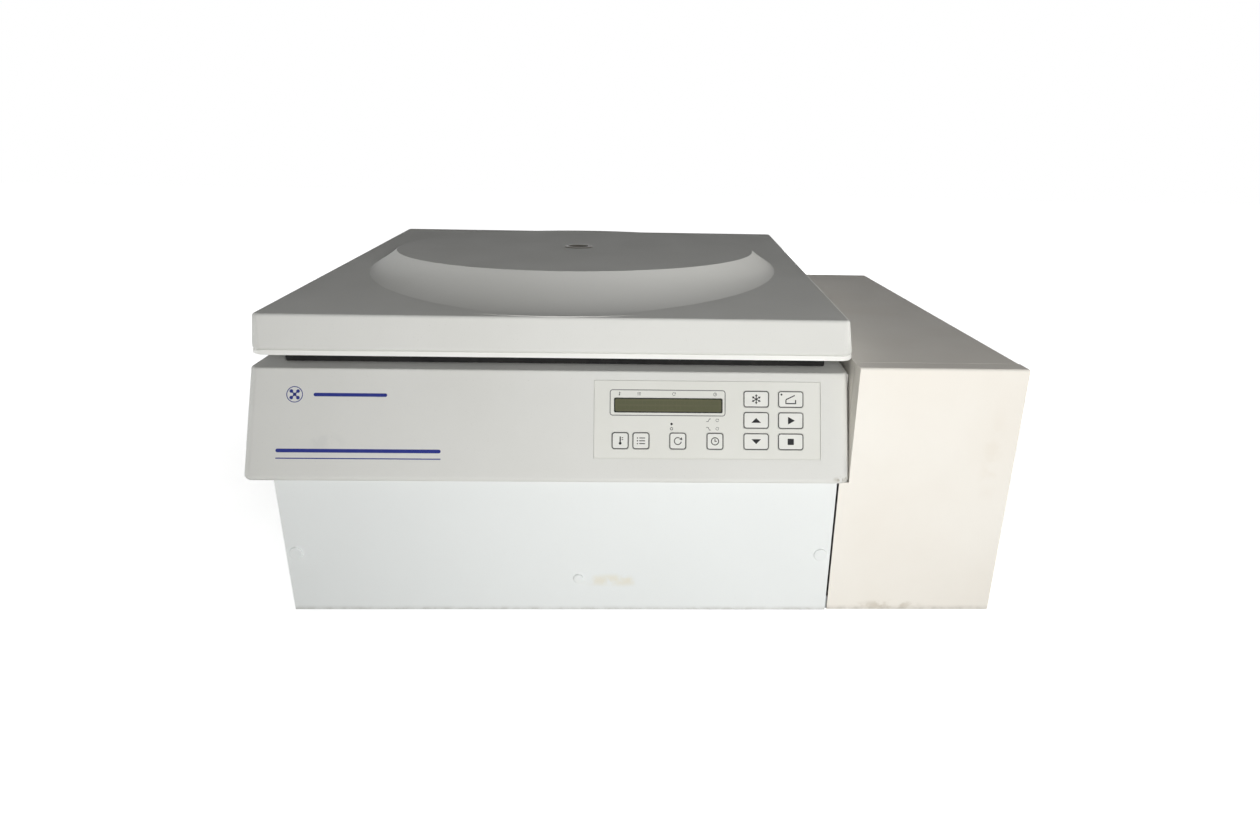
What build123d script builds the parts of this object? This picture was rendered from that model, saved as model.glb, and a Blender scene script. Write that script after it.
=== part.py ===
from build123d import *
import os
from math import atan, cos, degrees, pi, radians, sin, sqrt, tan

# A refrigerated bench centrifuge with a swing-out rotor, built as separate pieces.
# Millimetres. +Z is up, the front faces -Y, and the origin is the bottom centre of the whole machine.

# Whole machine
overall_width = 708.0
overall_depth = 610.0
foot_height = 27.0

# Sheet metal and moulding walls
sheet = 1.5
base_sheet = 2.0
tray_rim = 14.0
housing_wall = 3.5
lid_wall = 3.5
seam_gap = 0.5
slip = 0.3

# Lower cabinet of the main unit
cabinet_inset_left = 27.0
wall_spacer = 24.0
lip_overhang = 6.0
panel_inset_right = 10.5
panel_tuck = 4.0
seam_share = 400 / 708

# Upper housing: the deck and the leaning control band
band_bottom_z = 163.0
band_top_z = 258.5
band_lean = 41.0
housing_side_draft = 4.0
deck_slope = 0.0495
housing_corner_radius = 9.0
housing_edge_radius = 2.5
lip_radius = 4.0

# Side housing with the cooling unit
side_top_z = 272.5
side_setback = 2.0
side_bend_radius = 4.0
side_flange = 21.0
front_flap = 9.0

# Rotor chamber
chamber_off_middle = -7.75
chamber_side_room = 59.0
chamber_front_room = 123.0
chamber_back_room = 57.0
bowl_floor_z = 118.0
bowl_sheet = 2.0
bowl_bend = 24.0
shaft_hole_radius = 30.0
hatch_step = 14.0
insulation_thickness = 30.0
insulation_floor = 12.0

# Evaporator coil round the bowl
coil_tube_radius = 4.0
coil_turns = 6
coil_low_z = 136.0
coil_high_z = 240.0

# Drive motor
damper_radius = 13.0
damper_height = 16.0
damper_circle = 82.0
motor_flange_radius = 102.0
motor_flange = 5.0
motor_radius = 68.0
motor_height = 50.0
shaft_radius = 10.0
bearing_outer_radius = 20.0
bearing_height = 12.0
running_clearance = 0.05

# Rotor and its four swing buckets
pivot_z = 196.0
pivot_share = 0.59
rotor_thickness = 26.0
hub_radius = 40.0
ear_thickness = 10.0
ear_reach = 12.0
trunnion_radius = 5.0
bucket_gap = 4.5
bucket_width_share = 0.44
bucket_depth_share = 0.34
bucket_drop_share = 0.33
bucket_wall = 3.0
bucket_corner = 20.0
bucket_above_pivot = 10.0
bucket_bottom_bend = 16.0
bucket_count = 4
nut_radius = 21.0
nut_height = 22.0

# Lid
lid_side_inset = 4.5
lid_front_setback = 27.0
lid_back_inset = 16.0
lid_gap = 17.5
lid_thickness = 32.5
lid_draft = 9.5
lid_corner_radius = 11.0
lid_top_edge = 3.0
lid_bottom_edge = 3.5
dome_step = 10.0
dome_rise = 14.7
dome_flare_reach = 80.0
dome_flare_drop = 28.5
lid_plate = 2.0
liner_lap = 22.0
liner_above_deck = 6.0
plug_room = 6.0
plug_below_deck = 9.0
liner_wall = 2.0
seal_inner_lap = 5.0
seal_outer_lap = 19.0
port_radius = 17.0
port_flange = 3.0
port_wall = 3.0
port_recess = 4.0
glass_thickness = 4.0

# Lid hinges
hinge_axis_inset = 7.0
hinge_axis_drop = 8.0
hinge_spread = 168.0
hinge_pin_radius = 4.0
knuckle_radius = 7.0
hinge_ear = 8.0
hinge_arm_width = 36.0
hinge_arm_length = 46.0

# Lid lock
lock_setback = 68.0
lock_spread = 190.0
striker_width = 34.0
striker_wire = 6.0
striker_drop = 42.0
slot_width = 46.0
slot_length = 26.0
hook_thickness = 8.0
hook_pivot_radius = 4.0
hook_pivot_back = 13.0
hook_pivot_below = 16.0
hook_released = 40.0
lock_frame_width = 62.0
lock_frame_sheet = 2.0
lock_frame_front = 18.0
lock_frame_back = 42.0
striker_foot = 8.0

# Control panel on the band: distances across from the panel's left edge and up the leaning face
panel_right_margin = 28.0
panel_width = 208.0
panel_low = 24.2
panel_height = 71.2
panel_thickness = 2.4
panel_proud = 0.6
panel_play = 0.6
display_left = 18.0
display_low = 66.0
display_width = 100.0
display_height = 13.8
display_thickness = 7.0
key_travel = 0.6
key_thickness = 2.0
key_gap = 0.25
key_proud = 0.35
small_key = 15.6
wide_key = 23.6
wide_key_height = 15.4
key_low_row = 40.1
key_row_pitch = 19.6
small_key_places = {"temperature": 24.0, "program": 43.0, "speed": 76.8, "time": 111.0}
wide_key_columns = {"left": 149.0, "right": 181.0}
wide_key_names = {"left": ("down", "up", "fast_cool"), "right": ("stop", "start", "open")}
board_thickness = 2.0

# Lower front panel
cap_radius = 6.3
cap_height = 2.0
cap_stem_radius = 3.0
cap_edge_inset = 9.5
cap_z = 88.5
plug_cap_radius = 4.8
plug_stem_radius = 3.4
plug_stem_length = 9.0
plug_offset_x = 18.5
plug_z = 62.0

# Cooling unit in the side housing
compressor_radius = 52.0
compressor_height = 128.0
compressor_foot = 12.0
compressor_from_back = 205.0
compressor_plate_width = 96.0
compressor_plate_length = 124.0
compressor_pad_inset = 10.0
compressor_pad_radius = 8.0
condenser_side_room = 19.0
condenser_height = 170.0
condenser_depth = 36.0
condenser_low_z = 60.0
condenser_from_back = 16.0
fin_count = 22
fin_thickness = 1.2
header_width = 8.0
fan_radius = 52.0
fan_hub_radius = 17.0
fan_depth = 16.0
fan_blades = 5
blade_thickness = 2.0
fan_motor_radius = 22.0
fan_motor_depth = 34.0
fan_axle_radius = 3.0
pipe_radius = 4.0
pipe_bend = 14.0

# Back
vent_slot_height = 4.0
vent_slot_pitch = 10.0
vent_slot_count = 14
vent_slot_length = 110.0
vent_low_z = 72.0
vent_from_end = 60.0
bumper_radius = 11.0
bumper_inset = 30.0
bumper_z = 140.0
inlet_width = 50.0
inlet_height = 34.0
inlet_depth = 30.0
inlet_low_z = 62.0
inlet_beside_middle = 190.0
rocker_width = 18.0
rocker_height = 24.0
rocker_throw = 14.0
rocker_play = 0.8
rocker_axle_radius = 1.5
switch_wall = 2.0
switch_depth = 16.0
switch_beside_inlet = 52.0

# Feet
foot_radius = 20.0
foot_inset_x = 48.0
foot_inset_y = 62.0

# Places worked out from the sizes above
half_width = overall_width / 2
front_y = -overall_depth / 2 + lip_overhang
back_y = overall_depth / 2 - wall_spacer
cabinet_left = -half_width + cabinet_inset_left
seam_x = seam_share * half_width
main_right = seam_x - seam_gap
side_left = seam_x + seam_gap
side_front_y = front_y + side_setback
room_across = (main_right - cabinet_left) / 2 - sheet - chamber_side_room
room_along = (back_y - front_y - chamber_front_room - chamber_back_room) / 2
bowl_radius = min(room_across, room_along)
hatch_radius = bowl_radius + hatch_step
insulation_outer_radius = bowl_radius + insulation_thickness
liner_radius = hatch_radius + liner_lap
plug_radius = bowl_radius - plug_room
seal_inner_radius = hatch_radius + seal_inner_lap
seal_outer_radius = hatch_radius + seal_outer_lap
pivot_radius = pivot_share * bowl_radius
bucket_width = bucket_width_share * bowl_radius
bucket_depth_radial = bucket_depth_share * bowl_radius
bucket_below_pivot = bucket_drop_share * bowl_radius
chamber_x = (cabinet_left + main_right) / 2 + chamber_off_middle
chamber_y = front_y + chamber_front_room + room_along
lean_slope = band_lean / (band_top_z - band_bottom_z)
band_top_y = front_y - lip_overhang + band_lean
deck_angle = degrees(atan(deck_slope))
lean_angle = degrees(atan(lean_slope))
lid_front_y = front_y + lid_front_setback
lid_back_y = back_y - lid_back_inset
lid_length = lid_back_y - lid_front_y
lid_half_width = (main_right + half_width) / 2 - lid_side_inset
dome_radius = bowl_radius + dome_step
panel_left = main_right - panel_right_margin - panel_width - chamber_x
motor_base_z = foot_height + base_sheet + damper_height
motor_top_z = motor_base_z + motor_flange + motor_height
coil_radius = bowl_radius + bowl_sheet + slip + coil_tube_radius
insulation_inner_radius = coil_radius + coil_tube_radius + slip
taper = tan(radians(lid_draft))


def deck_z(y):
    """Height of the sloping deck at y."""
    return band_top_z + deck_slope * (y - band_top_y)


dome_top_z = deck_z(chamber_y) + lid_gap + lid_thickness + dome_rise
inlet_x = (cabinet_left + main_right) / 2 + inlet_beside_middle
switch_x = inlet_x - switch_beside_inlet
rocker_z = inlet_low_z + inlet_height / 2
switch_body = rocker_width + 2 * rocker_play + 2 * switch_wall
switch_tall = rocker_height + 2 * rocker_play + 2 * switch_wall
hinge_y = lid_back_y - hinge_axis_inset
hinge_z = deck_z(lid_back_y) + lid_gap - hinge_axis_drop
lock_y = lid_front_y + lock_setback
display_middle = panel_left + display_left + display_width / 2
deck_plane = Plane((chamber_x, chamber_y, deck_z(chamber_y)), x_dir=(1, 0, 0),
                   z_dir=(0, -sin(radians(deck_angle)), cos(radians(deck_angle))))
band_plane = Plane((chamber_x, front_y - lip_overhang, band_bottom_z), x_dir=(1, 0, 0),
                   z_dir=(0, -cos(radians(lean_angle)), sin(radians(lean_angle))))


def block(x0, x1, y0, y1, z0, z1):
    """A box between two corners."""
    return Pos((x0 + x1) / 2, (y0 + y1) / 2, (z0 + z1) / 2) * Box(x1 - x0, y1 - y0, z1 - z0)


def disc(x, y, z0, z1, radius):
    """An upright cylinder."""
    return Pos(x, y, (z0 + z1) / 2) * Cylinder(radius, z1 - z0)


def ring(x, y, z0, z1, outer, inner):
    """An upright tube."""
    return disc(x, y, z0, z1, outer) - disc(x, y, z0 - 1, z1 + 1, inner)


def rod(start, end, radius):
    """A round bar between two points."""
    axis = Vector(*end) - Vector(*start)
    return extrude(Plane(start, z_dir=axis) * Circle(radius), amount=axis.length)


def tube(points, bend, radius):
    """A round tube along straight runs joined by arcs."""
    path = FilletPolyline(*points, radius=bend)
    start = Plane(points[0], z_dir=Vector(*points[1]) - Vector(*points[0]))
    return sweep(start * Circle(radius), path=path)


def edges_where(shape, test):
    """The edges whose middle point passes a test."""
    return [edge for edge in shape.edges() if test(edge.center(CenterOf.MASS))]


# Lower cabinet


def base_tray():
    """Folded bottom pan under both halves, with holes for the feet's studs."""
    left, right = cabinet_left + sheet + slip, half_width - sheet - slip
    near, far = side_front_y + sheet + slip, back_y - sheet - slip
    tray = block(left, right, near, far, foot_height, foot_height + base_sheet)
    rim = block(left, right, near, far, foot_height, foot_height + tray_rim)
    inner = block(left + sheet, right - sheet, near + sheet, far - sheet, foot_height, foot_height + 2 * tray_rim)
    slot = block(main_right - sheet - slip, side_left + sheet + slip, front_y, back_y,
                 foot_height + base_sheet, foot_height + 2 * tray_rim)
    return tray + (rim - inner - slot)


def rubber_feet():
    """Four tapered feet."""
    xs = (cabinet_left + foot_inset_x, half_width - foot_inset_x)
    ys = (front_y + foot_inset_y, back_y - foot_inset_y)
    feet = []
    for x in xs:
        for y in ys:
            foot = Pos(x, y, foot_height / 2) * Cone(foot_radius * 0.85, foot_radius, foot_height)
            feet.append(fillet(foot.edges().group_by(Axis.Z)[0], 2))
    return feet


def front_panel():
    """Lower front sheet, with holes for the caps."""
    panel = block(cabinet_left, main_right - panel_inset_right, front_y, front_y + sheet,
                  foot_height, band_bottom_z + panel_tuck)
    panel = fillet(edges_where(panel, lambda c: abs(c.Z - foot_height) < 0.01 and c.Y < front_y + 0.1), 1)
    for x, z, radius in cap_places():
        panel -= rod((x, front_y - 5, z), (x, front_y + 5, z), radius + slip)
    return panel


def cap_places():
    """Centre and stem radius of the two screw caps and the emergency release plug."""
    return ((cabinet_left + cap_edge_inset, cap_z, cap_stem_radius),
            (main_right - panel_inset_right - cap_edge_inset, cap_z, cap_stem_radius),
            (chamber_x + plug_offset_x, plug_z, plug_stem_radius))


def round_cap(x, z, head, stem, stem_length):
    """A domed plastic cap whose stem goes through the front panel."""
    cap = rod((x, front_y - cap_height, z), (x, front_y - 0.05, z), head)
    cap = fillet(cap.edges().group_by(Axis.Y)[0], cap_height * 0.6)
    return cap + rod((x, front_y - 0.1, z), (x, front_y + stem_length, z), stem)


def screw_caps():
    """Two caps over the front panel's screws."""
    return [round_cap(x, z, cap_radius, stem, 6) for x, z, stem in cap_places()[:2]]


def release_plug():
    """Pull-out plug over the emergency lid release."""
    x, z, stem = cap_places()[2]
    return round_cap(x, z, plug_cap_radius, stem, plug_stem_length)


def left_side_panel():
    """Left sheet of the cabinet."""
    near = front_y + sheet + slip
    panel = block(cabinet_left, cabinet_left + sheet, near, back_y, foot_height, band_bottom_z - slip)
    return panel + block(cabinet_left, cabinet_left + sheet, near, back_y - housing_wall - slip,
                         band_bottom_z - sheet, band_bottom_z + panel_tuck)


def rear_panel():
    """Back sheet of the main unit, with its own vent slots."""
    panel = block(cabinet_left + sheet + slip, main_right, back_y - sheet, back_y,
                  foot_height, band_bottom_z - slip)
    middle = (cabinet_left + main_right) / 2
    for row in range(5):
        z = vent_low_z + row * vent_slot_pitch
        panel -= block(middle - vent_slot_length, middle + vent_slot_length, back_y - 10, back_y + 10,
                       z, z + vent_slot_height)
    panel -= block(inlet_x - inlet_width / 2 - slip, inlet_x + inlet_width / 2 + slip, back_y - 10, back_y + 10,
                   inlet_low_z - slip, inlet_low_z + inlet_height + slip)
    return panel - block(switch_x - switch_body / 2 - slip, switch_x + switch_body / 2 + slip,
                         back_y - 10, back_y + 10, rocker_z - switch_tall / 2 - slip,
                         rocker_z + switch_tall / 2 + slip)


def partition_wall():
    """Right sheet of the main unit, with the two pipe holes."""
    wall = block(main_right - sheet, main_right, side_front_y + sheet + slip, back_y - sheet - slip,
                 foot_height + base_sheet + slip, band_bottom_z - slip)
    wall += block(main_right - sheet, main_right, band_top_y + housing_wall + slip, back_y - housing_wall - slip,
                  band_bottom_z - sheet, band_top_z - 2 * housing_wall - slip)
    for y, z in coil_exits():
        wall -= rod((main_right - 20, y, z), (main_right + 20, y, z), coil_tube_radius + slip)
    return wall


# Upper housing


def housing_block(bottom_z, inset):
    """The housing's outer form, or that form drawn in by inset, cut off at bottom_z."""
    drop = band_top_z - bottom_z
    side = make_face(Polyline((band_top_y - lean_slope * drop, bottom_z), (band_top_y, band_top_z),
                              (back_y, deck_z(back_y)), (back_y, bottom_z), close=True))
    top_z = deck_z(back_y)
    draft = housing_side_draft / (band_top_z - band_bottom_z)
    low = draft * (band_bottom_z - bottom_z)
    high = draft * (top_z - band_bottom_z)
    front = make_face(Polyline((-half_width - low, bottom_z), (-half_width + high, top_z),
                               (main_right, top_z), (main_right, bottom_z), close=True))
    if inset:
        side = offset(side, amount=-inset, kind=Kind.INTERSECTION)
        front = offset(front, amount=-inset, kind=Kind.INTERSECTION)
    span = overall_width + overall_depth
    form = extrude(Plane.YZ * side, amount=span, both=True) & extrude(Plane.XZ * front, amount=span, both=True)
    corner = max(housing_corner_radius - inset, 1)
    return fillet(edges_where(form, lambda c: c.Y < (band_top_y + front_y) / 2 + 20
                              and (c.X < -half_width + 30 or c.X > main_right - 30)
                              and abs(c.Z - (bottom_z + band_top_z) / 2) < 15), corner)


def upper_housing():
    """Moulded deck with the leaning control band, open below."""
    shell = housing_block(band_bottom_z, 0)
    shell = fillet(edges_where(shell, lambda c: abs(c.Z - band_bottom_z) < 0.5 and c.Y < front_y), lip_radius)
    shell = fillet(edges_where(shell, lambda c: abs(c.Z - band_top_z) < 1 and abs(c.Y - band_top_y) < 3),
                   housing_edge_radius)
    hollow = housing_block(band_bottom_z - 4 * housing_wall, housing_wall)
    shell -= hollow + Pos(2 * housing_wall, 0, 0) * hollow & block(
        -half_width, half_width, band_top_y + housing_wall, back_y, 0, 2 * band_top_z)
    shell -= hollow
    shell += block(main_right - housing_wall, main_right, band_top_y + housing_wall, back_y - housing_wall,
                   band_top_z - 2 * housing_wall, band_top_z - housing_wall / 2)
    shell -= disc(chamber_x, chamber_y, 0, 400, hatch_radius)
    for x in lock_places():
        shell -= block(x - slot_width / 2, x + slot_width / 2, lock_y - slot_length / 2,
                       lock_y + slot_length / 2, band_top_z - 20, band_top_z + 30)
    pocket = band_plane * (Pos(panel_left + (panel_width + panel_play) / 2,
                               panel_low + (panel_height - panel_play) / 2, 0)
                           * Box(panel_width + panel_play + 2 * slip, panel_height + panel_play + 2 * slip,
                                 2 * (panel_thickness - panel_proud)))
    window = band_plane * (Pos(panel_left + panel_width / 2, panel_low + panel_height / 2, 0)
                           * Box(panel_width - 8, panel_height - 8, 6 * housing_wall))
    return shell - pocket - window


# Control panel


def on_band(across, up, width, height, out, thickness, radius=0.0):
    """A flat piece on the leaning face: centre across and up, its outer face out from the housing."""
    outline = RectangleRounded(width, height, radius) if radius else Rectangle(width, height)
    return band_plane * (Pos(across, up, out - thickness) * extrude(outline, amount=thickness))


def key_places():
    """Name, across, up, width and height of each key."""
    places = [(name, panel_left + across, key_low_row, small_key, small_key)
              for name, across in small_key_places.items()]
    for column, across in wide_key_columns.items():
        for row, name in enumerate(wide_key_names[column]):
            places.append((name, panel_left + across, key_low_row + row * key_row_pitch, wide_key,
                           wide_key_height))
    return places


def control_overlay():
    """Flat fascia plate let into the band, with openings for the display and the keys."""
    plate = on_band(panel_left + panel_width / 2, panel_low + panel_height / 2, panel_width, panel_height,
                    panel_proud, panel_thickness)
    plate -= on_band(display_middle, display_low + display_height / 2,
                     display_width, display_height, 10, 20, 1.5)
    for _, across, up, width, height in key_places():
        plate -= on_band(across, up, width + 2 * key_gap, height + 2 * key_gap, 10, 20, 2.5 + key_gap)
    return plate


def display_module():
    """Liquid crystal display behind its opening in the fascia."""
    face = on_band(display_middle, display_low + display_height / 2,
                   display_width - 2 * slip, display_height - 2 * slip, panel_proud - 0.6, panel_thickness, 1.2)
    body = on_band(display_middle, display_low + display_height / 2,
                   display_width + 12, display_height + 8, panel_proud - panel_thickness - slip,
                   display_thickness)
    return face + body


def key(across, up, width, height):
    """One key: a rounded pad that travels in its opening, with a plunger behind it."""
    pad = on_band(across, up, width, height, panel_proud + key_proud, key_thickness, 2.5)
    plunger = on_band(across, up, 6, 6, panel_proud + key_proud - key_thickness, board_gap() - key_travel - slip)
    return pad + plunger


def board_gap():
    """Depth from the back of a key's pad to the board."""
    return display_thickness + panel_thickness - key_thickness + key_proud + 1.5


def keypad_board():
    """Circuit board behind the keys and the display."""
    depth = panel_proud + key_proud - key_thickness - board_gap()
    board = on_band(panel_left + panel_width / 2, panel_low + panel_height / 2, panel_width - 10,
                    panel_height - 10, depth, board_thickness)
    for across in (panel_left + 9, panel_left + panel_width - 9):
        for up in (panel_low + 9, panel_low + panel_height - 9):
            board += on_band(across, up, 4, 4, panel_proud - panel_thickness, panel_proud - panel_thickness - depth)
    return board


# Rotor chamber


def below_deck(shape):
    """Cuts off what stands above the underside of the sloping deck."""
    tall = 2 * overall_width
    return shape - (deck_plane * (Pos(0, 0, tall / 2 - housing_wall - slip) * Box(tall, tall, tall)))


def chamber_bowl():
    """Pressed bowl with a rounded floor and a hole for the shaft."""
    outer_bend = bowl_bend + bowl_sheet
    top = 360
    outer = disc(chamber_x, chamber_y, bowl_floor_z - bowl_sheet, top, bowl_radius + bowl_sheet)
    outer = fillet(outer.edges().group_by(Axis.Z)[0], outer_bend)
    inner = disc(chamber_x, chamber_y, bowl_floor_z, top + 10, bowl_radius)
    inner = fillet(inner.edges().group_by(Axis.Z)[0], bowl_bend)
    bowl = outer - inner - disc(chamber_x, chamber_y, 0, top, shaft_hole_radius)
    collar = ring(chamber_x, chamber_y, 0, top, hatch_radius - slip, bowl_radius)
    tall = 2 * overall_width
    collar &= deck_plane * (Pos(0, 0, -housing_wall / 2) * Box(tall, tall, housing_wall))
    above = deck_plane * (Pos(0, 0, tall / 2) * Box(tall, tall, tall))
    return bowl - above + collar


def coil_exits():
    """y and z of the coil's two ends, where its straight runs meet the partition."""
    return ((chamber_y - coil_radius, coil_low_z), (chamber_y + coil_radius, coil_high_z))


def chamber_insulation():
    """Foam jacket round the bowl and its coil."""
    foam = disc(chamber_x, chamber_y, bowl_floor_z - bowl_sheet - insulation_floor, 360, insulation_outer_radius)
    foam -= disc(chamber_x, chamber_y, bowl_floor_z - bowl_sheet - slip, 380, insulation_inner_radius)
    foam -= disc(chamber_x, chamber_y, 0, 360, shaft_hole_radius + 4)
    for y, z in coil_exits():
        foam -= rod((chamber_x, y, z), (main_right, y, z), coil_tube_radius + slip)
    return below_deck(foam)


def biarc(start, start_way, end, end_way):
    """Two arcs that leave start and reach end in the given directions."""
    chord = end - start
    ways = start_way + end_way
    bend = 2 * (1 - start_way.dot(end_way))
    reach = (-chord.dot(ways) + sqrt(chord.dot(ways) ** 2 + bend * chord.dot(chord))) / bend
    first, last = start + start_way * reach, end - end_way * reach
    join = (first + last) * 0.5
    return [TangentArc(start, join, tangent=start_way), TangentArc(join, end, tangent=(last - first).normalized())]


def evaporator_coil():
    """Copper tube wound round the bowl, with a straight run to the partition at each end."""
    quarters = 4 * coil_turns + 2
    rise = (coil_high_z - coil_low_z) / quarters
    steep = rise / (coil_radius * pi / 2)
    points, ways = [], []
    for step in range(quarters + 1):
        turn = -pi / 2 - step * pi / 2
        climb = 0 if step in (0, quarters) else steep
        points.append(Vector(chamber_x + coil_radius * cos(turn), chamber_y + coil_radius * sin(turn),
                             coil_low_z + rise * step))
        ways.append(Vector(sin(turn), -cos(turn), climb).normalized())
    runs = [Line((main_right, points[0].Y, points[0].Z), points[0])]
    for a, way_a, b, way_b in zip(points, ways, points[1:], ways[1:]):
        runs += biarc(a, way_a, b, way_b)
    runs.append(Line(points[-1], (main_right, points[-1].Y, points[-1].Z)))
    print("coil: gap between turns", round(4 * rise - 2 * coil_tube_radius, 2), "mm")
    return sweep(Plane((main_right, points[0].Y, points[0].Z), z_dir=(-1, 0, 0)) * Circle(coil_tube_radius),
                 path=Wire([edge for run in runs for edge in run.edges()]))


def cooling_tubes():
    """The coil and the two pipes that it joins, brazed end to end."""
    return [evaporator_coil(), *refrigerant_pipes()]


# Drive


def motor_housing():
    """Motor can with a flange and a seat for each bearing."""
    can = disc(chamber_x, chamber_y, motor_base_z, motor_base_z + motor_flange, motor_flange_radius)
    can += disc(chamber_x, chamber_y, motor_base_z, motor_top_z, motor_radius)
    can = fillet(can.edges().group_by(Axis.Z)[-1], 5)
    can -= disc(chamber_x, chamber_y, motor_base_z + motor_flange + bearing_height + 4,
                motor_top_z - bearing_height - 4, motor_radius - 8)
    return can - disc(chamber_x, chamber_y, motor_base_z + motor_flange, motor_top_z + 1, bearing_outer_radius)


def motor_dampers():
    """Rubber mounts between the base pan and the motor's flange."""
    dampers = []
    for step in range(4):
        turn = radians(45 + 90 * step)
        x, y = chamber_x + damper_circle * cos(turn), chamber_y + damper_circle * sin(turn)
        damper = disc(x, y, foot_height + base_sheet, motor_base_z, damper_radius)
        waist = Pos(x, y, foot_height + base_sheet + damper_height / 2) * Torus(damper_radius + 3, 5)
        dampers.append(damper - waist)
    return dampers


def motor_bearings():
    """Two ball bearings, as rings."""
    low = motor_base_z + motor_flange
    return [ring(chamber_x, chamber_y, z, z + bearing_height, bearing_outer_radius,
                 shaft_radius + running_clearance) for z in (low, motor_top_z - bearing_height)]


def shaft_seal():
    """Rubber lip ring that closes the bowl's floor round the shaft."""
    seal = ring(chamber_x, chamber_y, bowl_floor_z - bowl_sheet, bowl_floor_z + 4, shaft_hole_radius,
                shaft_radius + 6)
    return seal + ring(chamber_x, chamber_y, bowl_floor_z, bowl_floor_z + 2, shaft_hole_radius + 8, shaft_radius + 6)


def motor_shaft():
    """Drive shaft with the motor's armature on it."""
    top = pivot_z + rotor_thickness / 2 + nut_height - 6
    shaft = disc(chamber_x, chamber_y, motor_base_z + motor_flange + 1, pivot_z - rotor_thickness / 2, shaft_radius)
    shaft += disc(chamber_x, chamber_y, pivot_z - rotor_thickness / 2, top, shaft_radius - 3)
    return shaft + disc(chamber_x, chamber_y, motor_base_z + motor_flange + bearing_height + 5,
                        motor_top_z - bearing_height - 5, motor_radius - 11)


def around(shape, step):
    """A copy turned about the rotor's axis by quarter turns."""
    return Pos(chamber_x, chamber_y, 0) * Rot(0, 0, 90 * step) * shape


def ear_inner():
    """Distance from a bucket's middle plane to the inside of the rotor's ear."""
    return bucket_width / 2 + 2 * bucket_gap


def rotor_cross():
    """Cast rotor: a hub and four arms, each ending in the ears of two buckets."""
    near, far = ear_inner(), ear_inner() + ear_thickness
    low, high = pivot_radius - ear_reach, pivot_radius + ear_reach
    corner = bucket_width / 2 + 2
    half = [(hub_radius / 2, 0), (pivot_radius - bucket_depth_radial * 0.7, corner), (low, near), (high, near),
            (high, far)]
    outline = half + [(y, x) for x, y in reversed(half)]
    arm = Pos(0, 0, pivot_z - rotor_thickness / 2) * extrude(make_face(Polyline(*outline, close=True)),
                                                             amount=rotor_thickness)
    bore = disc(0, 0, 0, 400, shaft_radius - 3)
    body = disc(0, 0, pivot_z - rotor_thickness / 2 - 6, pivot_z + rotor_thickness / 2, hub_radius)
    body -= disc(0, 0, 0, pivot_z - rotor_thickness / 2, shaft_radius + slip)
    for step in range(bucket_count):
        body += Rot(0, 0, 90 * step) * arm
    body -= bore
    for step in range(bucket_count):
        body -= Rot(0, 0, 90 * step) * rod((pivot_radius, -far - 1, pivot_z), (pivot_radius, far + 1, pivot_z),
                                           trunnion_radius)
    return around(body, 0)


def rotor_nut():
    """Knurled nut that holds the rotor on the shaft."""
    low = pivot_z + rotor_thickness / 2
    nut = disc(0, 0, low, low + nut_height, nut_radius)
    nut = fillet(nut.edges().group_by(Axis.Z)[-1], 3)
    for step in range(8):
        turn = radians(45 * step)
        nut -= disc((nut_radius + 2) * cos(turn), (nut_radius + 2) * sin(turn), low + 4, low + nut_height + 1, 5)
    return around(nut - disc(0, 0, low - 1, low + nut_height - 6, shaft_radius - 3), 0)


def trunnion_pins():
    """Eight pins, two for each bucket, pressed into the rotor's ears."""
    far = ear_inner() + ear_thickness
    near = bucket_width / 2 + 0.8
    pins = []
    for step in range(bucket_count):
        for side in (-1, 1):
            pins.append(around(rod((pivot_radius, side * near, pivot_z), (pivot_radius, side * far, pivot_z),
                                   trunnion_radius), step))
    return pins


def bucket(step):
    """Swing bucket: a rounded cup that hangs from two pins, each in a boss on its side."""
    low, high = pivot_z - bucket_below_pivot, pivot_z + bucket_above_pivot
    outer = Pos(pivot_radius, 0, low) * extrude(RectangleRounded(bucket_depth_radial, bucket_width, bucket_corner),
                                                amount=high - low)
    outer = fillet(outer.edges().group_by(Axis.Z)[0], bucket_bottom_bend)
    inner = Pos(pivot_radius, 0, low + bucket_wall) * extrude(
        RectangleRounded(bucket_depth_radial - 2 * bucket_wall, bucket_width - 2 * bucket_wall,
                         bucket_corner - bucket_wall), amount=high - low)
    inner = fillet(inner.edges().group_by(Axis.Z)[0], bucket_bottom_bend - bucket_wall)
    cup = outer
    reach = bucket_width / 2 + bucket_gap
    cup += rod((pivot_radius, -reach, pivot_z), (pivot_radius, reach, pivot_z), trunnion_radius + 4)
    cup -= inner
    for side in (-1, 1):
        cup -= rod((pivot_radius, side * (bucket_width / 2 + 0.4), pivot_z),
                   (pivot_radius, side * (reach + 1), pivot_z), trunnion_radius + running_clearance)
    return around(cup, step)


# Lid


def lid_slab(inset, floor):
    """The lid's tapered slab in the deck's slope, drawn in by inset, starting floor below its rim."""
    middle_y = (lid_front_y + lid_back_y) / 2
    plane = Plane((chamber_x, middle_y, deck_z(middle_y) + lid_gap), x_dir=(1, 0, 0), z_dir=deck_plane.z_dir)
    grow = 2 * (floor * taper - inset)
    outline = RectangleRounded(2 * lid_half_width + grow, lid_length + grow,
                               max(lid_corner_radius + grow / 2, 1))
    return plane * (Pos(0, 0, -floor) * extrude(outline, amount=lid_thickness + floor - inset, taper=lid_draft))


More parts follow.
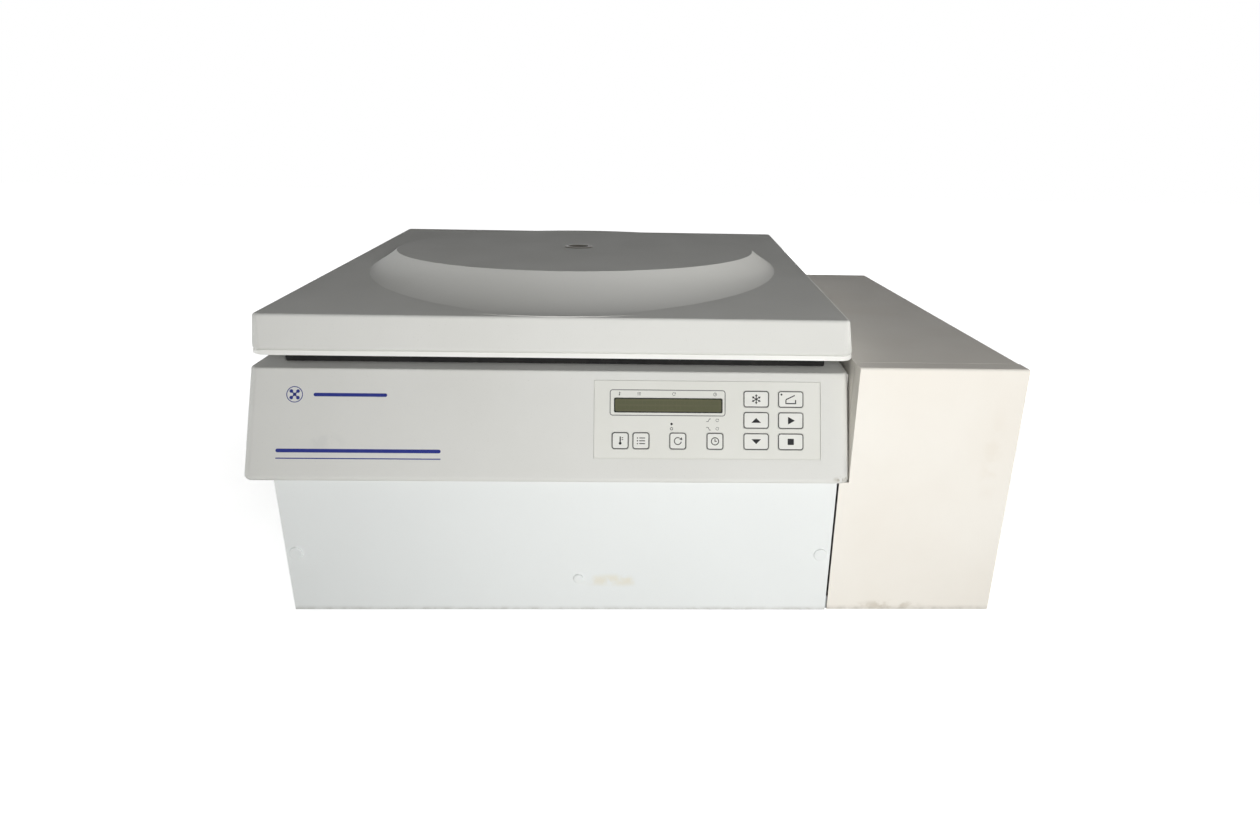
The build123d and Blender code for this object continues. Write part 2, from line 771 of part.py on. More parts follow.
def lid_dome(inset):
    """Flat round top with a hollow flank that runs out into the sloping lid."""
    top = dome_top_z - inset
    flare_z = dome_top_z - dome_flare_drop - inset
    rim = dome_radius - inset * 0.6
    outer = rim + dome_flare_reach
    arc_radius = (dome_flare_reach ** 2 + dome_flare_drop ** 2) / (2 * dome_flare_drop)
    half_turn = atan(dome_flare_reach / (arc_radius - dome_flare_drop)) / 2
    middle = (outer - arc_radius * sin(half_turn), flare_z + arc_radius * (1 - cos(half_turn)))
    base = flare_z - 40
    line = Polyline((outer, flare_z), (outer, base), (0, base), (0, top), (rim, top))
    flank = ThreePointArc((rim, top), middle, (outer, flare_z))
    face = Plane.XZ * make_face(Wire([*line.edges(), *flank.edges()]))
    return Pos(chamber_x, chamber_y, 0) * revolve(face, Axis.Z)


def lid_form(inset, floor):
    """Slab and dome together, kept inside the slab's tapered sides."""
    middle_y = (lid_front_y + lid_back_y) / 2
    plane = Plane((chamber_x, middle_y, deck_z(middle_y) + lid_gap), x_dir=(1, 0, 0), z_dir=deck_plane.z_dir)
    grow = 2 * (floor * taper - inset)
    outline = RectangleRounded(2 * lid_half_width + grow, lid_length + grow,
                               max(lid_corner_radius + grow / 2, 1))
    tall = plane * (Pos(0, 0, -floor) * extrude(outline, amount=dome_top_z - deck_z(lid_front_y) + floor,
                                                taper=lid_draft))
    return lid_slab(inset, floor) + (lid_dome(inset) & tall)


def lid_cover():
    """Outer moulding of the lid, open below."""
    cover = lid_form(0, 0)
    rim = cover.faces().sort_by(Axis((chamber_x, 0, 0), deck_plane.z_dir))[0]
    cover = fillet(rim.edges(), lid_bottom_edge)
    slab_top = lid_slab(0, 0).faces().sort_by(Axis((chamber_x, 0, 0), deck_plane.z_dir))[-1]
    middles = [edge.center(CenterOf.MASS) for edge in slab_top.edges()]
    cover = fillet(edges_where(cover, lambda c: any((c - middle).length < 0.01 for middle in middles)),
                   lid_top_edge)
    cover -= lid_form(lid_wall, 10)
    port = disc(chamber_x, chamber_y, 200, 400, port_radius - port_flange)
    return cover - port


def lid_plate_z():
    """Distance of the lid's base plate above the deck plane."""
    return lid_gap * cos(radians(deck_angle)) + 1


def lid_base_plate():
    """Flat plate that closes the lid from below."""
    middle_y = (lid_front_y + lid_back_y) / 2
    plane = Plane((chamber_x, middle_y, deck_z(middle_y) + lid_gap + 1), x_dir=(1, 0, 0), z_dir=deck_plane.z_dir)
    shrink = 2 * (lid_wall + slip + 0.6)
    plate = plane * extrude(RectangleRounded(2 * lid_half_width - shrink, lid_length - shrink,
                                             lid_corner_radius - lid_wall), amount=lid_plate)
    return plate - disc(chamber_x, chamber_y, 200, 400, port_radius - port_flange)


def lid_liner():
    """Round pan under the lid, with a plug that enters the chamber's mouth."""
    pan = deck_plane * (Pos(0, 0, liner_above_deck)
                        * extrude(Circle(liner_radius), amount=lid_plate_z() - liner_above_deck - 0.2))
    pan += deck_plane * (Pos(0, 0, -plug_below_deck) * extrude(Circle(plug_radius),
                                                               amount=plug_below_deck + liner_above_deck + 1))
    hollow = deck_plane * (Pos(0, 0, liner_wall - plug_below_deck)
                           * extrude(Circle(plug_radius - liner_wall), amount=60))
    return pan - hollow - disc(chamber_x, chamber_y, 200, 400, port_radius - port_flange)


def lid_seal():
    """Rubber gasket under the liner, round the chamber's mouth."""
    outer = extrude(Circle(seal_outer_radius), amount=liner_above_deck - slip)
    inner = extrude(Circle(seal_inner_radius), amount=liner_above_deck)
    return deck_plane * (Pos(0, 0, slip) * (outer - inner))


def port_low_z():
    """Height of the viewing port's lower end, just under the plug."""
    return deck_z(chamber_y) - plug_below_deck - 3


def sight_tube():
    """Flanged tube of the viewing port, through the whole lid."""
    tube_radius = port_radius - port_flange
    body = disc(chamber_x, chamber_y, port_low_z(), dome_top_z, tube_radius - running_clearance)
    body += disc(chamber_x, chamber_y, dome_top_z, dome_top_z + 1.2, port_radius)
    body = fillet(body.edges().group_by(Axis.Z)[-1], 0.8)
    body -= disc(chamber_x, chamber_y, 0, 400, tube_radius - port_wall)
    seat = disc(chamber_x, chamber_y, dome_top_z - port_recess - glass_thickness, 400, tube_radius - port_wall + 1)
    return body - seat


def sight_glass():
    """Clear disc in the viewing port."""
    radius = port_radius - port_flange - port_wall + 1
    top = dome_top_z - port_recess
    return disc(chamber_x, chamber_y, top - glass_thickness, top, radius)


# Hinges and lock


def hinge_places():
    """The x of each hinge's middle."""
    return (chamber_x - hinge_spread, chamber_x + hinge_spread)


def hinge_brackets():
    """Two deck brackets, each with two ears and the steel pin that they hold."""
    brackets = []
    half = hinge_arm_width / 2 + slip
    for x in hinge_places():
        foot_z = deck_z(hinge_y)
        foot = profile_x([(hinge_y - 20, deck_z(hinge_y - 20)), (back_y - 2, deck_z(back_y - 2)),
                          (back_y - 2, deck_z(back_y - 2) + 2), (hinge_y - 20, deck_z(hinge_y - 20) + 2)],
                         x - half - hinge_ear, x + half + hinge_ear)
        for side in (-1, 1):
            near, far = sorted((x + side * half, x + side * (half + hinge_ear)))
            ear = rod((near, hinge_y, hinge_z), (far, hinge_y, hinge_z), knuckle_radius)
            ear += block(near, far, hinge_y - knuckle_radius, hinge_y + knuckle_radius, foot_z + 0.5, hinge_z)
            foot += ear
        reach = half + hinge_ear
        foot -= rod((x - reach - 1, hinge_y, hinge_z), (x + reach + 1, hinge_y, hinge_z), hinge_pin_radius)
        brackets.append(foot)
        brackets.append(rod((x - reach, hinge_y, hinge_z), (x + reach, hinge_y, hinge_z), hinge_pin_radius))
    return brackets


def profile_x(points, x0, x1):
    """A side outline of (y, z) points, from x0 to x1."""
    face = make_face(Polyline(*[(x0, y, z) for y, z in points], close=True))
    return extrude(face, amount=x1 - x0, dir=(1, 0, 0))


def lid_hinge_arms():
    """Two arms screwed under the lid's base plate, each with a knuckle on the pin."""
    arms = []
    for x in hinge_places():
        left, right = x - hinge_arm_width / 2, x + hinge_arm_width / 2
        under = lid_gap - 0.2

        def plate_z(y):
            return deck_z(y) + under

        far = hinge_y - hinge_arm_length
        near = lid_back_y - lid_wall - 2
        arm = profile_x([(far, plate_z(far) + 1), (near, plate_z(near) + 1), (near, plate_z(near) - 2.5),
                         (hinge_y, hinge_z), (hinge_y - 8, plate_z(hinge_y - 8) - 2.5),
                         (far, plate_z(far) - 2.5)], left, right)
        arm += rod((left, hinge_y, hinge_z), (right, hinge_y, hinge_z), knuckle_radius - 0.5)
        arm -= rod((left - 1, hinge_y, hinge_z), (right + 1, hinge_y, hinge_z),
                   hinge_pin_radius + running_clearance)
        arms.append(arm)
    return arms


def lock_places():
    """The x of each lid lock's middle."""
    return (chamber_x - lock_spread, chamber_x + lock_spread)


def striker_bar_z():
    """Height of a striker's crossbar."""
    return deck_z(lock_y) + lid_gap - striker_drop


def lid_striker():
    """Two steel loops under the lid's front corners, which the hooks hold."""
    top = deck_z(lock_y) + lid_gap + 0.4
    low = striker_bar_z()
    half = striker_width / 2
    strikers = []
    for x in lock_places():
        loop = tube([(x - half, lock_y, top - 1), (x - half, lock_y, low), (x + half, lock_y, low),
                     (x + half, lock_y, top - 1)], striker_wire, striker_wire / 2)
        foot = block(x - half - striker_foot, x + half + striker_foot, lock_y - striker_foot - 1,
                     lock_y + striker_foot + 1, top - 3.6, top)
        strikers.append(loop + foot)
    return strikers


def hook_pivot():
    """y and z of the hooks' pivot pins."""
    return lock_y + hook_pivot_back, striker_bar_z() - hook_pivot_below


def lock_frame():
    """Two brackets hung under the deck, each with two cheeks that hold a hook's pivot pin."""
    y, z = hook_pivot()
    half = hook_thickness / 2 + 2
    wide = lock_frame_width / 2
    near_y, far_y = lock_y - lock_frame_front, lock_y + lock_frame_back
    top = deck_z(near_y) - housing_wall - 1
    frames = []
    for x in lock_places():
        low = z - 16
        frame = block(x - wide, x + wide, near_y, far_y, low, low + lock_frame_sheet)
        for side in (-1, 1):
            near, far = sorted((x + side * wide, x + side * (wide - lock_frame_sheet)))
            frame += block(near, far, near_y, far_y, low, top)
            near, far = sorted((x + side * half, x + side * (half + lock_frame_sheet)))
            frame += block(near, far, y - 9, y + 9, low, z + 8)
        pin = rod((x - half - lock_frame_sheet, y, z), (x + half + lock_frame_sheet, y, z), hook_pivot_radius)
        frames.append(frame + pin)
    return frames


def latch_hook(side):
    """Hook that turns forward over a striker's crossbar, shown swung back."""
    y, z = hook_pivot()
    reach = striker_wire / 2
    bar_y, bar_z = lock_y, striker_bar_z()
    left = lock_places()[side] - hook_thickness / 2
    body = profile_x([(y - 8, z - 8), (y + 8, z - 8), (y + 8, z + 6), (y - 2, bar_z + reach + 12),
                      (bar_y - reach - 5, bar_z + reach + 10), (bar_y - reach - 5, bar_z + reach + 1),
                      (bar_y + reach + 2, bar_z + reach + 1), (bar_y + reach + 2, bar_z - reach - 4)],
                     left, left + hook_thickness)
    body -= rod((left - 1, y, z), (left + hook_thickness + 1, y, z), hook_pivot_radius + running_clearance)
    return body.rotate(Axis((0, y, z), (1, 0, 0)), -hook_released)


# Side housing


def side_cover():
    """Folded sheet over the cooling unit: left wall, top and right wall, with vent slots and the switch hole."""
    outer = block(side_left, half_width, side_front_y + side_flange, back_y, foot_height, side_top_z)
    outer = fillet(edges_where(outer, lambda c: abs(c.Z - side_top_z) < 0.1 and c.X > half_width - 1),
                   side_bend_radius)
    inner = block(side_left + sheet, half_width - sheet, side_front_y - 50, back_y + 50,
                  foot_height - 50, side_top_z - sheet)
    cover = outer - inner
    cover -= block(side_left - 5, side_left + 5, front_y, back_y + 5, foot_height - 1,
                   foot_height + base_sheet + slip)
    for y, z in coil_exits():
        cover -= rod((side_left - 20, y, z), (side_left + 20, y, z), coil_tube_radius + slip)
    for start, length in ((side_front_y + vent_from_end, vent_slot_length),
                          (back_y - vent_from_end - 1.5 * vent_slot_length, 1.5 * vent_slot_length)):
        for row in range(vent_slot_count):
            z = vent_low_z + row * vent_slot_pitch
            cover -= block(half_width - 20, half_width + 20, start, start + length, z, z + vent_slot_height)
    return cover


def side_front_panel():
    """Front sheet of the side housing, folded back over the top, with a flat flap beside the main unit's front."""
    outer = block(side_left, half_width, side_front_y, side_front_y + side_flange - seam_gap,
                  foot_height, side_top_z)
    outer = fillet(edges_where(outer, lambda c: (abs(c.Z - side_top_z) < 0.1 and c.Y < side_front_y + 1)
                               or (abs(c.X - half_width) < 0.1 and c.Y < side_front_y + 1)
                               or (abs(c.X - half_width) < 0.1 and abs(c.Z - side_top_z) < 0.1)), 2.5)
    inner = block(side_left + sheet, half_width - sheet, side_front_y + sheet, side_front_y + side_flange + 10,
                  foot_height - 10, side_top_z - sheet)
    sill = block(side_left - 1, side_left + sheet + 1, side_front_y + sheet, side_front_y + side_flange,
                 foot_height - 1, foot_height + base_sheet + slip)
    flap = block(side_left - front_flap, side_left, side_front_y, side_front_y + sheet,
                 foot_height, band_bottom_z - slip)
    return outer - inner - sill + flap


def rear_grille():
    """Back sheet of the side housing, slotted for the condenser's air."""
    left, right = side_left + sheet + slip, half_width - sheet - slip
    panel = block(left, right, back_y - sheet, back_y, foot_height + base_sheet + 14, side_top_z - sheet - slip)
    middle = (left + right) / 2
    for row in range(vent_slot_count + 3):
        z = vent_low_z + row * vent_slot_pitch
        panel -= block(middle - vent_slot_length / 2, middle + vent_slot_length / 2, back_y - 10, back_y + 10,
                       z, z + vent_slot_height)
    return panel


def compressor_place():
    """x and y of the compressor's axis."""
    return (side_left + half_width) / 2, back_y - compressor_from_back


def compressor():
    """Hermetic compressor: a domed can on a foot plate with four rubber pads."""
    x, y = compressor_place()
    low = foot_height + base_sheet
    can = disc(x, y, low + compressor_foot, low + compressor_foot + compressor_height, compressor_radius)
    can = fillet(can.edges().group_by(Axis.Z)[-1], 24)
    can = fillet(can.edges().group_by(Axis.Z)[0], 12)
    can += disc(x, y, low + compressor_foot + compressor_height * 0.55,
                low + compressor_foot + compressor_height * 0.55 + 4, compressor_radius + 3)
    wide, long = compressor_plate_width / 2, compressor_plate_length / 2
    can += block(x - wide, x + wide, y - long, y + long, low + compressor_foot - 1, low + compressor_foot + 2)
    for side in (-1, 1):
        for end in (-1, 1):
            can += disc(x + side * (wide - compressor_pad_inset), y + end * (long - compressor_pad_inset),
                        low, low + compressor_foot, compressor_pad_radius)
    return can


def condenser_box():
    """The condenser's corners: x0, x1, y0, y1, z0, z1."""
    y1 = back_y - condenser_from_back
    return (side_left + condenser_side_room, half_width - condenser_side_room, y1 - condenser_depth, y1,
            condenser_low_z, condenser_low_z + condenser_height)


def condenser():
    """Finned condenser: upright fins between two headers, joined by flat tubes."""
    x0, x1, y0, y1, z0, z1 = condenser_box()
    core = block(x0, x0 + header_width, y0, y1, z0, z1) + block(x1 - header_width, x1, y0, y1, z0, z1)
    for row in range(6):
        z = z0 + 10 + row * (z1 - z0 - 26) / 5
        core += block(x0, x1, y0 + 6, y1 - 6, z, z + 6)
    pitch = (x1 - x0 - 2 * header_width) / (fin_count + 1)
    for step in range(fin_count):
        x = x0 + header_width + (step + 1) * pitch
        core += block(x - fin_thickness / 2, x + fin_thickness / 2, y0, y1, z0 + 2, z1 - 2)
    for x in (x0, x1 - header_width):
        core += block(x, x + header_width, y0, y1, foot_height + base_sheet, z0 + 1)
    return core


def fan_place():
    """x, z and the front y of the fan."""
    x0, x1, y0, _, z0, z1 = condenser_box()
    return (x0 + x1) / 2, (z0 + z1) / 2, y0 - 6 - fan_depth


def fan_motor():
    """Fan motor on a post that stands on the base pan."""
    x, z, y = fan_place()
    motor = rod((x, y - 4 - fan_motor_depth, z), (x, y - 4, z), fan_motor_radius)
    motor += block(x - 9, x + 9, y - 4 - fan_motor_depth + 6, y - 10, foot_height + base_sheet, z)
    motor += block(x - 22, x + 22, y - 4 - fan_motor_depth, y - 4, foot_height + base_sheet,
                   foot_height + base_sheet + 3)
    return motor - rod((x, y - 4 - fan_motor_depth / 2, z), (x, y, z), fan_axle_radius + running_clearance)


def fan_rotor():
    """Fan: hub, pitched blades and axle."""
    x, z, y = fan_place()
    hub = rod((0, 0, 0), (0, fan_depth, 0), fan_hub_radius)
    blade = Pos((fan_hub_radius + fan_radius) / 2 - 2, fan_depth / 2, 0) * Rot(35, 0, 0) * Box(
        fan_radius - fan_hub_radius, fan_depth * 0.9, blade_thickness)
    for step in range(fan_blades):
        hub += Rot(0, 360 / fan_blades * step, 0) * blade
    hub += rod((0, 0, 0), (0, -4 - fan_motor_depth / 2 + 1, 0), fan_axle_radius)
    return Pos(x, y, z) * hub


def refrigerant_pipes():
    """Two copper pipes: the coil's low end to the condenser, its high end to the compressor."""
    (low_y, low_z), (high_y, high_z) = coil_exits()
    cx, cy = compressor_place()
    x0, _, y0, y1, _, z1 = condenser_box()
    over = z1 + 2 * pipe_bend
    down_x = x0 + header_width / 2
    top = foot_height + base_sheet + compressor_foot + compressor_height
    feed = tube([(main_right, low_y, low_z), (down_x, low_y, low_z), (down_x, low_y, over),
                 (down_x, (y0 + y1) / 2, over), (down_x, (y0 + y1) / 2, z1)], pipe_bend - 2, pipe_radius)
    suction = tube([(main_right, high_y, high_z), (cx, high_y, high_z), (cx, cy, high_z), (cx, cy, top)],
                   pipe_bend, pipe_radius)
    return [feed, suction]


# Back


def mains_inlet():
    """Appliance inlet: a shrouded socket with a raised core."""
    left, right = inlet_x - inlet_width / 2, inlet_x + inlet_width / 2
    low, high = inlet_low_z, inlet_low_z + inlet_height
    body = block(left, right, back_y - inlet_depth, back_y + 1, low, high)
    body += block(left - 5, right + 5, back_y + 0.1, back_y + 2, low - 5, high + 5)
    cavity = block(left + 5, right - 5, back_y - inlet_depth + 6, back_y + 10, low + 5, high - 5)
    core = block(left + 11, right - 11, back_y - inlet_depth + 4, back_y - 3, low + 11, high - 11)
    return body - cavity + core


def rear_bumpers():
    """Two rubber spacers that keep the back clear of a wall."""
    reach = overall_depth / 2
    bumpers = []
    for x in (cabinet_left + bumper_inset, main_right - bumper_inset):
        bumper = rod((x, back_y, bumper_z), (x, reach, bumper_z), bumper_radius)
        bumpers.append(fillet(bumper.edges().group_by(Axis.Y)[-1], 3))
    return bumpers


def switch_frame():
    """Frame of the mains switch, with a well for the rocker and holes for its axle."""
    frame = block(switch_x - switch_body / 2, switch_x + switch_body / 2, back_y - switch_depth, back_y + 1,
                  rocker_z - switch_tall / 2, rocker_z + switch_tall / 2)
    rim = switch_tall / 2 + 3
    frame += block(switch_x - switch_body / 2 - 3, switch_x + switch_body / 2 + 3, back_y + 0.1, back_y + 1.8,
                   rocker_z - rim, rocker_z + rim)
    well = block(switch_x - rocker_width / 2 - rocker_play, switch_x + rocker_width / 2 + rocker_play,
                 back_y - switch_depth + 3, back_y + 10, rocker_z - rocker_height / 2 - rocker_play,
                 rocker_z + rocker_height / 2 + rocker_play)
    return frame - well - rocker_axle(running_clearance)


def rocker_axle(grow):
    """The rocker's axle, made thicker by grow."""
    reach = rocker_width / 2 + rocker_play + 1.2
    return rod((switch_x - reach, back_y - 2, rocker_z), (switch_x + reach, back_y - 2, rocker_z),
               rocker_axle_radius + grow)


def mains_rocker():
    """Rocker of the mains switch on its axle, tipped to its lower end."""
    half = rocker_height / 2
    dip = half * tan(radians(rocker_throw / 2))
    outline = [(back_y - 7, rocker_z - 6), (back_y - 3, rocker_z - half), (back_y + 2 + dip, rocker_z - half),
               (back_y + 2, rocker_z), (back_y + 2 + dip, rocker_z + half), (back_y - 3, rocker_z + half),
               (back_y - 7, rocker_z + 6)]
    rocker = profile_x(outline, switch_x - rocker_width / 2, switch_x + rocker_width / 2) + rocker_axle(0)
    return rocker.rotate(Axis((0, back_y - 2, rocker_z), (1, 0, 0)), rocker_throw / 2)


pieces = {
    "base_tray": base_tray, "rubber_feet": rubber_feet, "front_panel": front_panel, "screw_caps": screw_caps,
    "left_side_panel": left_side_panel, "rear_panel": rear_panel, "partition_wall": partition_wall,
    "upper_housing": upper_housing, "control_overlay": control_overlay, "display_module": display_module,
    "keypad_board": keypad_board, "chamber_bowl": chamber_bowl, "chamber_insulation": chamber_insulation,
    "shaft_seal": shaft_seal, "motor_housing": motor_housing,
    "motor_dampers": motor_dampers, "motor_bearings": motor_bearings, "hinge_brackets": hinge_brackets,
    "lock_frame": lock_frame, "side_cover": side_cover,
    "side_front_panel": side_front_panel, "rear_grille": rear_grille, "compressor": compressor,
    "condenser": condenser, "fan_motor": fan_motor, "evaporator_coil": cooling_tubes,
    "mains_inlet": mains_inlet, "rear_bumpers": rear_bumpers, "lid_cover": lid_cover,
    "lid_base_plate": lid_base_plate, "lid_liner": lid_liner, "lid_seal": lid_seal, "sight_tube": sight_tube,
    "sight_glass": sight_glass, "lid_hinge_arms": lid_hinge_arms, "lid_striker": lid_striker,
    "motor_shaft": motor_shaft, "rotor_cross": rotor_cross, "rotor_nut": rotor_nut,
    "trunnion_pins": trunnion_pins, "fan_rotor": fan_rotor, "mains_rocker": mains_rocker,
    "switch_frame": switch_frame, "release_plug": release_plug,
}


def write(name, shape):
    """Writes one piece, or a group of alike pieces, as its own file."""
    shape = Compound(children=list(shape)) if isinstance(shape, list) else shape
    export_step(shape, f"parts/{name}.step")


os.makedirs("parts", exist_ok=True)
for name, make in pieces.items():
    write(name, make())
for step in range(bucket_count):
    write(f"swing_bucket_{step + 1}", bucket(step))
for side, name in enumerate(("left", "right")):
    write(f"latch_hook_{name}", latch_hook(side))
for name, *place in key_places():
    write(f"key_{name}", key(*place))
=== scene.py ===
"""Finishes and small details for a refrigerated bench centrifuge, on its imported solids."""

import logging
import math
from dataclasses import dataclass, field
from enum import Enum
from typing import Iterable, Sequence

import bmesh
import bpy
from mathutils import Matrix, Vector


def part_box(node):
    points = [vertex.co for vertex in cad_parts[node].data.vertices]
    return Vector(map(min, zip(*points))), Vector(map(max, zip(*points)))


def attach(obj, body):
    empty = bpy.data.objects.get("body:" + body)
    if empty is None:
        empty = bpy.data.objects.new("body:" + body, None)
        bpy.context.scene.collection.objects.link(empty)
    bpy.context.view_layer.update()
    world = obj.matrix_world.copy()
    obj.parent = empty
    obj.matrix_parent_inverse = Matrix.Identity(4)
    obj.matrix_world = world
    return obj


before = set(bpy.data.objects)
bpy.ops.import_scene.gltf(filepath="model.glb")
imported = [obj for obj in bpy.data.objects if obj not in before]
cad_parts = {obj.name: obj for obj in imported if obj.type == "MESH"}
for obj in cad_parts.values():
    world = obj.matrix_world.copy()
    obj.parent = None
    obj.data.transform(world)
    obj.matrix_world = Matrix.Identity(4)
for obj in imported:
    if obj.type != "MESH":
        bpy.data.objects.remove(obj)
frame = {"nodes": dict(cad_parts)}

log = logging.getLogger("centrifuge")
MM = 0.001
Point = tuple[float, float]
Colour = tuple[float, float, float]

# Where noise values are cut: round their middle, for specks, and for a stain's spots.
MIDDLE = (0.3, 0.7)
SPECK_SIZE = 1.1
SPECK_RANGE = (0.69, 0.74)
STAIN_CORE = 0.2
STAIN_SPOTS = (0.42, 0.6)
# How far over and under its line dirt at the foot fades in, in millimetres, and its least and most strength.
DIRT_FADE = (4, -3)
DIRT_STRENGTH = (0.2, 0.5)


def linear(red: int, green: int, blue: int) -> Colour:
    """Turns a colour as it is seen on a screen into the renderer's linear values.

    Args:
        red: Red from 0 to 255.
        green: Green from 0 to 255.
        blue: Blue from 0 to 255.

    Returns:
        The colour as three linear values from 0 to 1.
    """
    return tuple((value / 255) ** 2.2 for value in (red, green, blue))


class Grain(Enum):
    """The small relief of a finish."""

    SMOOTH = "smooth"
    FINE = "fine texture"
    BRUSHED_X = "brushed along x"
    BRUSHED_Z = "brushed along z"
    TURNED = "turned rings"
    CAST = "cast"
    FOAM = "foam"


@dataclass(frozen=True)
class Stain:
    """A soft worn or dirty patch at one place, in millimetres, with break_up in spots per metre."""

    x: float
    y: float
    z: float
    reach: tuple[float, float, float]
    colour: Colour
    strength: float = 0.5
    break_up: float = 60.0


class Nodes:
    """A node tree while it is being laid out."""

    def __init__(self, tree: bpy.types.NodeTree) -> None:
        """Starts on a tree.

        Args:
            tree: The tree that nodes are added to.
        """
        self.tree = tree

    def node(self, kind: str, links: dict[str | int, bpy.types.NodeSocket] | None = None,
             values: dict[str | int, object] | None = None, **properties: object) -> bpy.types.Node:
        """Adds a node.

        Args:
            kind: The node's type.
            links: Sockets to join to its inputs.
            values: Values for its inputs.
            **properties: Properties to set on it.

        Returns:
            The new node.
        """
        made = self.tree.nodes.new(kind)
        for name, value in properties.items():
            setattr(made, name, value)
        for name, value in (values or {}).items():
            made.inputs[name].default_value = value
        for name, socket in (links or {}).items():
            self.link(socket, made.inputs[name])
        return made

    def link(self, source: bpy.types.NodeSocket, target: bpy.types.NodeSocket) -> None:
        """Joins two sockets."""
        self.tree.links.new(source, target)

    def seen(self) -> bpy.types.NodeSocket:
        """Tells rays that show the background from rays that light the machine.

        Returns:
            A socket that is 1 for camera, glossy and transmission rays.
        """
        path = self.node("ShaderNodeLightPath")
        result = path.outputs["Is Camera Ray"]
        for kind in ("Is Glossy Ray", "Is Transmission Ray"):
            result = self.node("ShaderNodeMath", {0: result, 1: path.outputs[kind]},
                               operation="MAXIMUM").outputs[0]
        return result


class Graph(Nodes):
    """A material's nodes while they are being laid out."""

    def __init__(self, name: str) -> None:
        """Starts a material with a plain surface shader.

        Args:
            name: The material's name.
        """
        self.material = bpy.data.materials.new(name)
        self.material.use_nodes = True
        super().__init__(self.material.node_tree)
        self.shader = self.tree.nodes["Principled BSDF"]
        self.place = self.node("ShaderNodeTexCoord").outputs["Object"]

    def surface(self, **values: object) -> None:
        """Sets values on the surface shader.

        Args:
            **values: Each input's value, with underscores for the spaces in its name.
        """
        for name, value in values.items():
            self.shader.inputs[name.replace("_", " ")].default_value = value

    def noise(self, size: float, detail: float = 3.0, squeeze: tuple[float, float, float] = (1, 1, 1)
              ) -> bpy.types.NodeSocket:
        """Soft random values over the surface.

        Args:
            size: The rough width of one patch, in millimetres.
            detail: How many finer layers are added.
            squeeze: How much finer the pattern is along each axis.

        Returns:
            A socket with values about 0.5.
        """
        mapping = self.node("ShaderNodeMapping", {"Vector": self.place}, {"Scale": squeeze})
        made = self.node("ShaderNodeTexNoise", {"Vector": mapping.outputs["Vector"]},
                         {"Scale": 1 / (size * MM), "Detail": detail})
        return made.outputs["Fac"]

    def spread(self, source: bpy.types.NodeSocket, low: float, high: float, first: float = 0.0,
               last: float = 1.0) -> bpy.types.NodeSocket:
        """Maps a range of values to another, held at its ends.

        Args:
            source: The values.
            low: Where the source's range starts.
            high: Where the source's range ends.
            first: The result at low.
            last: The result at high.

        Returns:
            The mapped values.
        """
        ends = {"From Min": low, "From Max": high, "To Min": first, "To Max": last}
        made = self.node("ShaderNodeMapRange", {"Value": source}, ends, interpolation_type="SMOOTHSTEP")
        return made.outputs["Result"]

    def times(self, first: bpy.types.NodeSocket, second: bpy.types.NodeSocket) -> bpy.types.NodeSocket:
        """Multiplies two values and holds the product between 0 and 1."""
        made = self.node("ShaderNodeMath", {0: first, 1: second}, operation="MULTIPLY", use_clamp=True)
        return made.outputs[0]

    def blend(self, share: bpy.types.NodeSocket, first: Colour | bpy.types.NodeSocket,
              second: Colour | bpy.types.NodeSocket) -> bpy.types.NodeSocket:
        """Mixes two colours.

        Args:
            share: How much of the second colour shows.
            first: The first colour.
            second: The second colour.

        Returns:
            The mixed colour.
        """
        made = self.node("ShaderNodeMix", {0: share}, data_type="RGBA")
        for value, socket in ((first, made.inputs[6]), (second, made.inputs[7])):
            if isinstance(value, tuple):
                socket.default_value = (*value, 1)
            else:
                self.link(value, socket)
        return made.outputs[2]

    def height(self) -> bpy.types.NodeSocket:
        """The height over the ground, in metres."""
        return self.node("ShaderNodeSeparateXYZ", {0: self.place}).outputs["Z"]

    def around(self, middle: tuple[float, float, float], reach: tuple[float, float, float] = (1e3, 1e3, 1e3)
               ) -> bpy.types.NodeSocket:
        """The place counted from a middle, in shares of a reach.

        Args:
            middle: The middle, in millimetres.
            reach: The reach along each axis, in millimetres.

        Returns:
            The place as a vector.
        """
        made = self.node("ShaderNodeMapping", {"Vector": self.place},
                         {"Location": tuple(value * MM for value in middle),
                          "Scale": tuple(value * MM for value in reach)}, vector_type="TEXTURE")
        return made.outputs["Vector"]

    def near(self, stain: Stain) -> bpy.types.NodeSocket:
        """Where a stain lies, fading out towards its reach.

        Args:
            stain: The stain.

        Returns:
            Its strength over the surface.
        """
        place = self.around((stain.x, stain.y, stain.z), stain.reach)
        length = self.node("ShaderNodeVectorMath", {0: place}, operation="LENGTH").outputs["Value"]
        body = self.spread(length, 1.0, STAIN_CORE, 0.0, stain.strength)
        return self.times(body, self.spread(self.noise(1000 / stain.break_up, 6.0), *STAIN_SPOTS))

    def bump(self, height: bpy.types.NodeSocket, depth: float) -> None:
        """Gives the surface a relief.

        Args:
            height: The relief's shape.
            depth: Its depth, in millimetres.
        """
        made = self.node("ShaderNodeBump", {"Height": height}, {"Strength": 1.0, "Distance": depth * MM})
        self.link(made.outputs["Normal"], self.shader.inputs["Normal"])


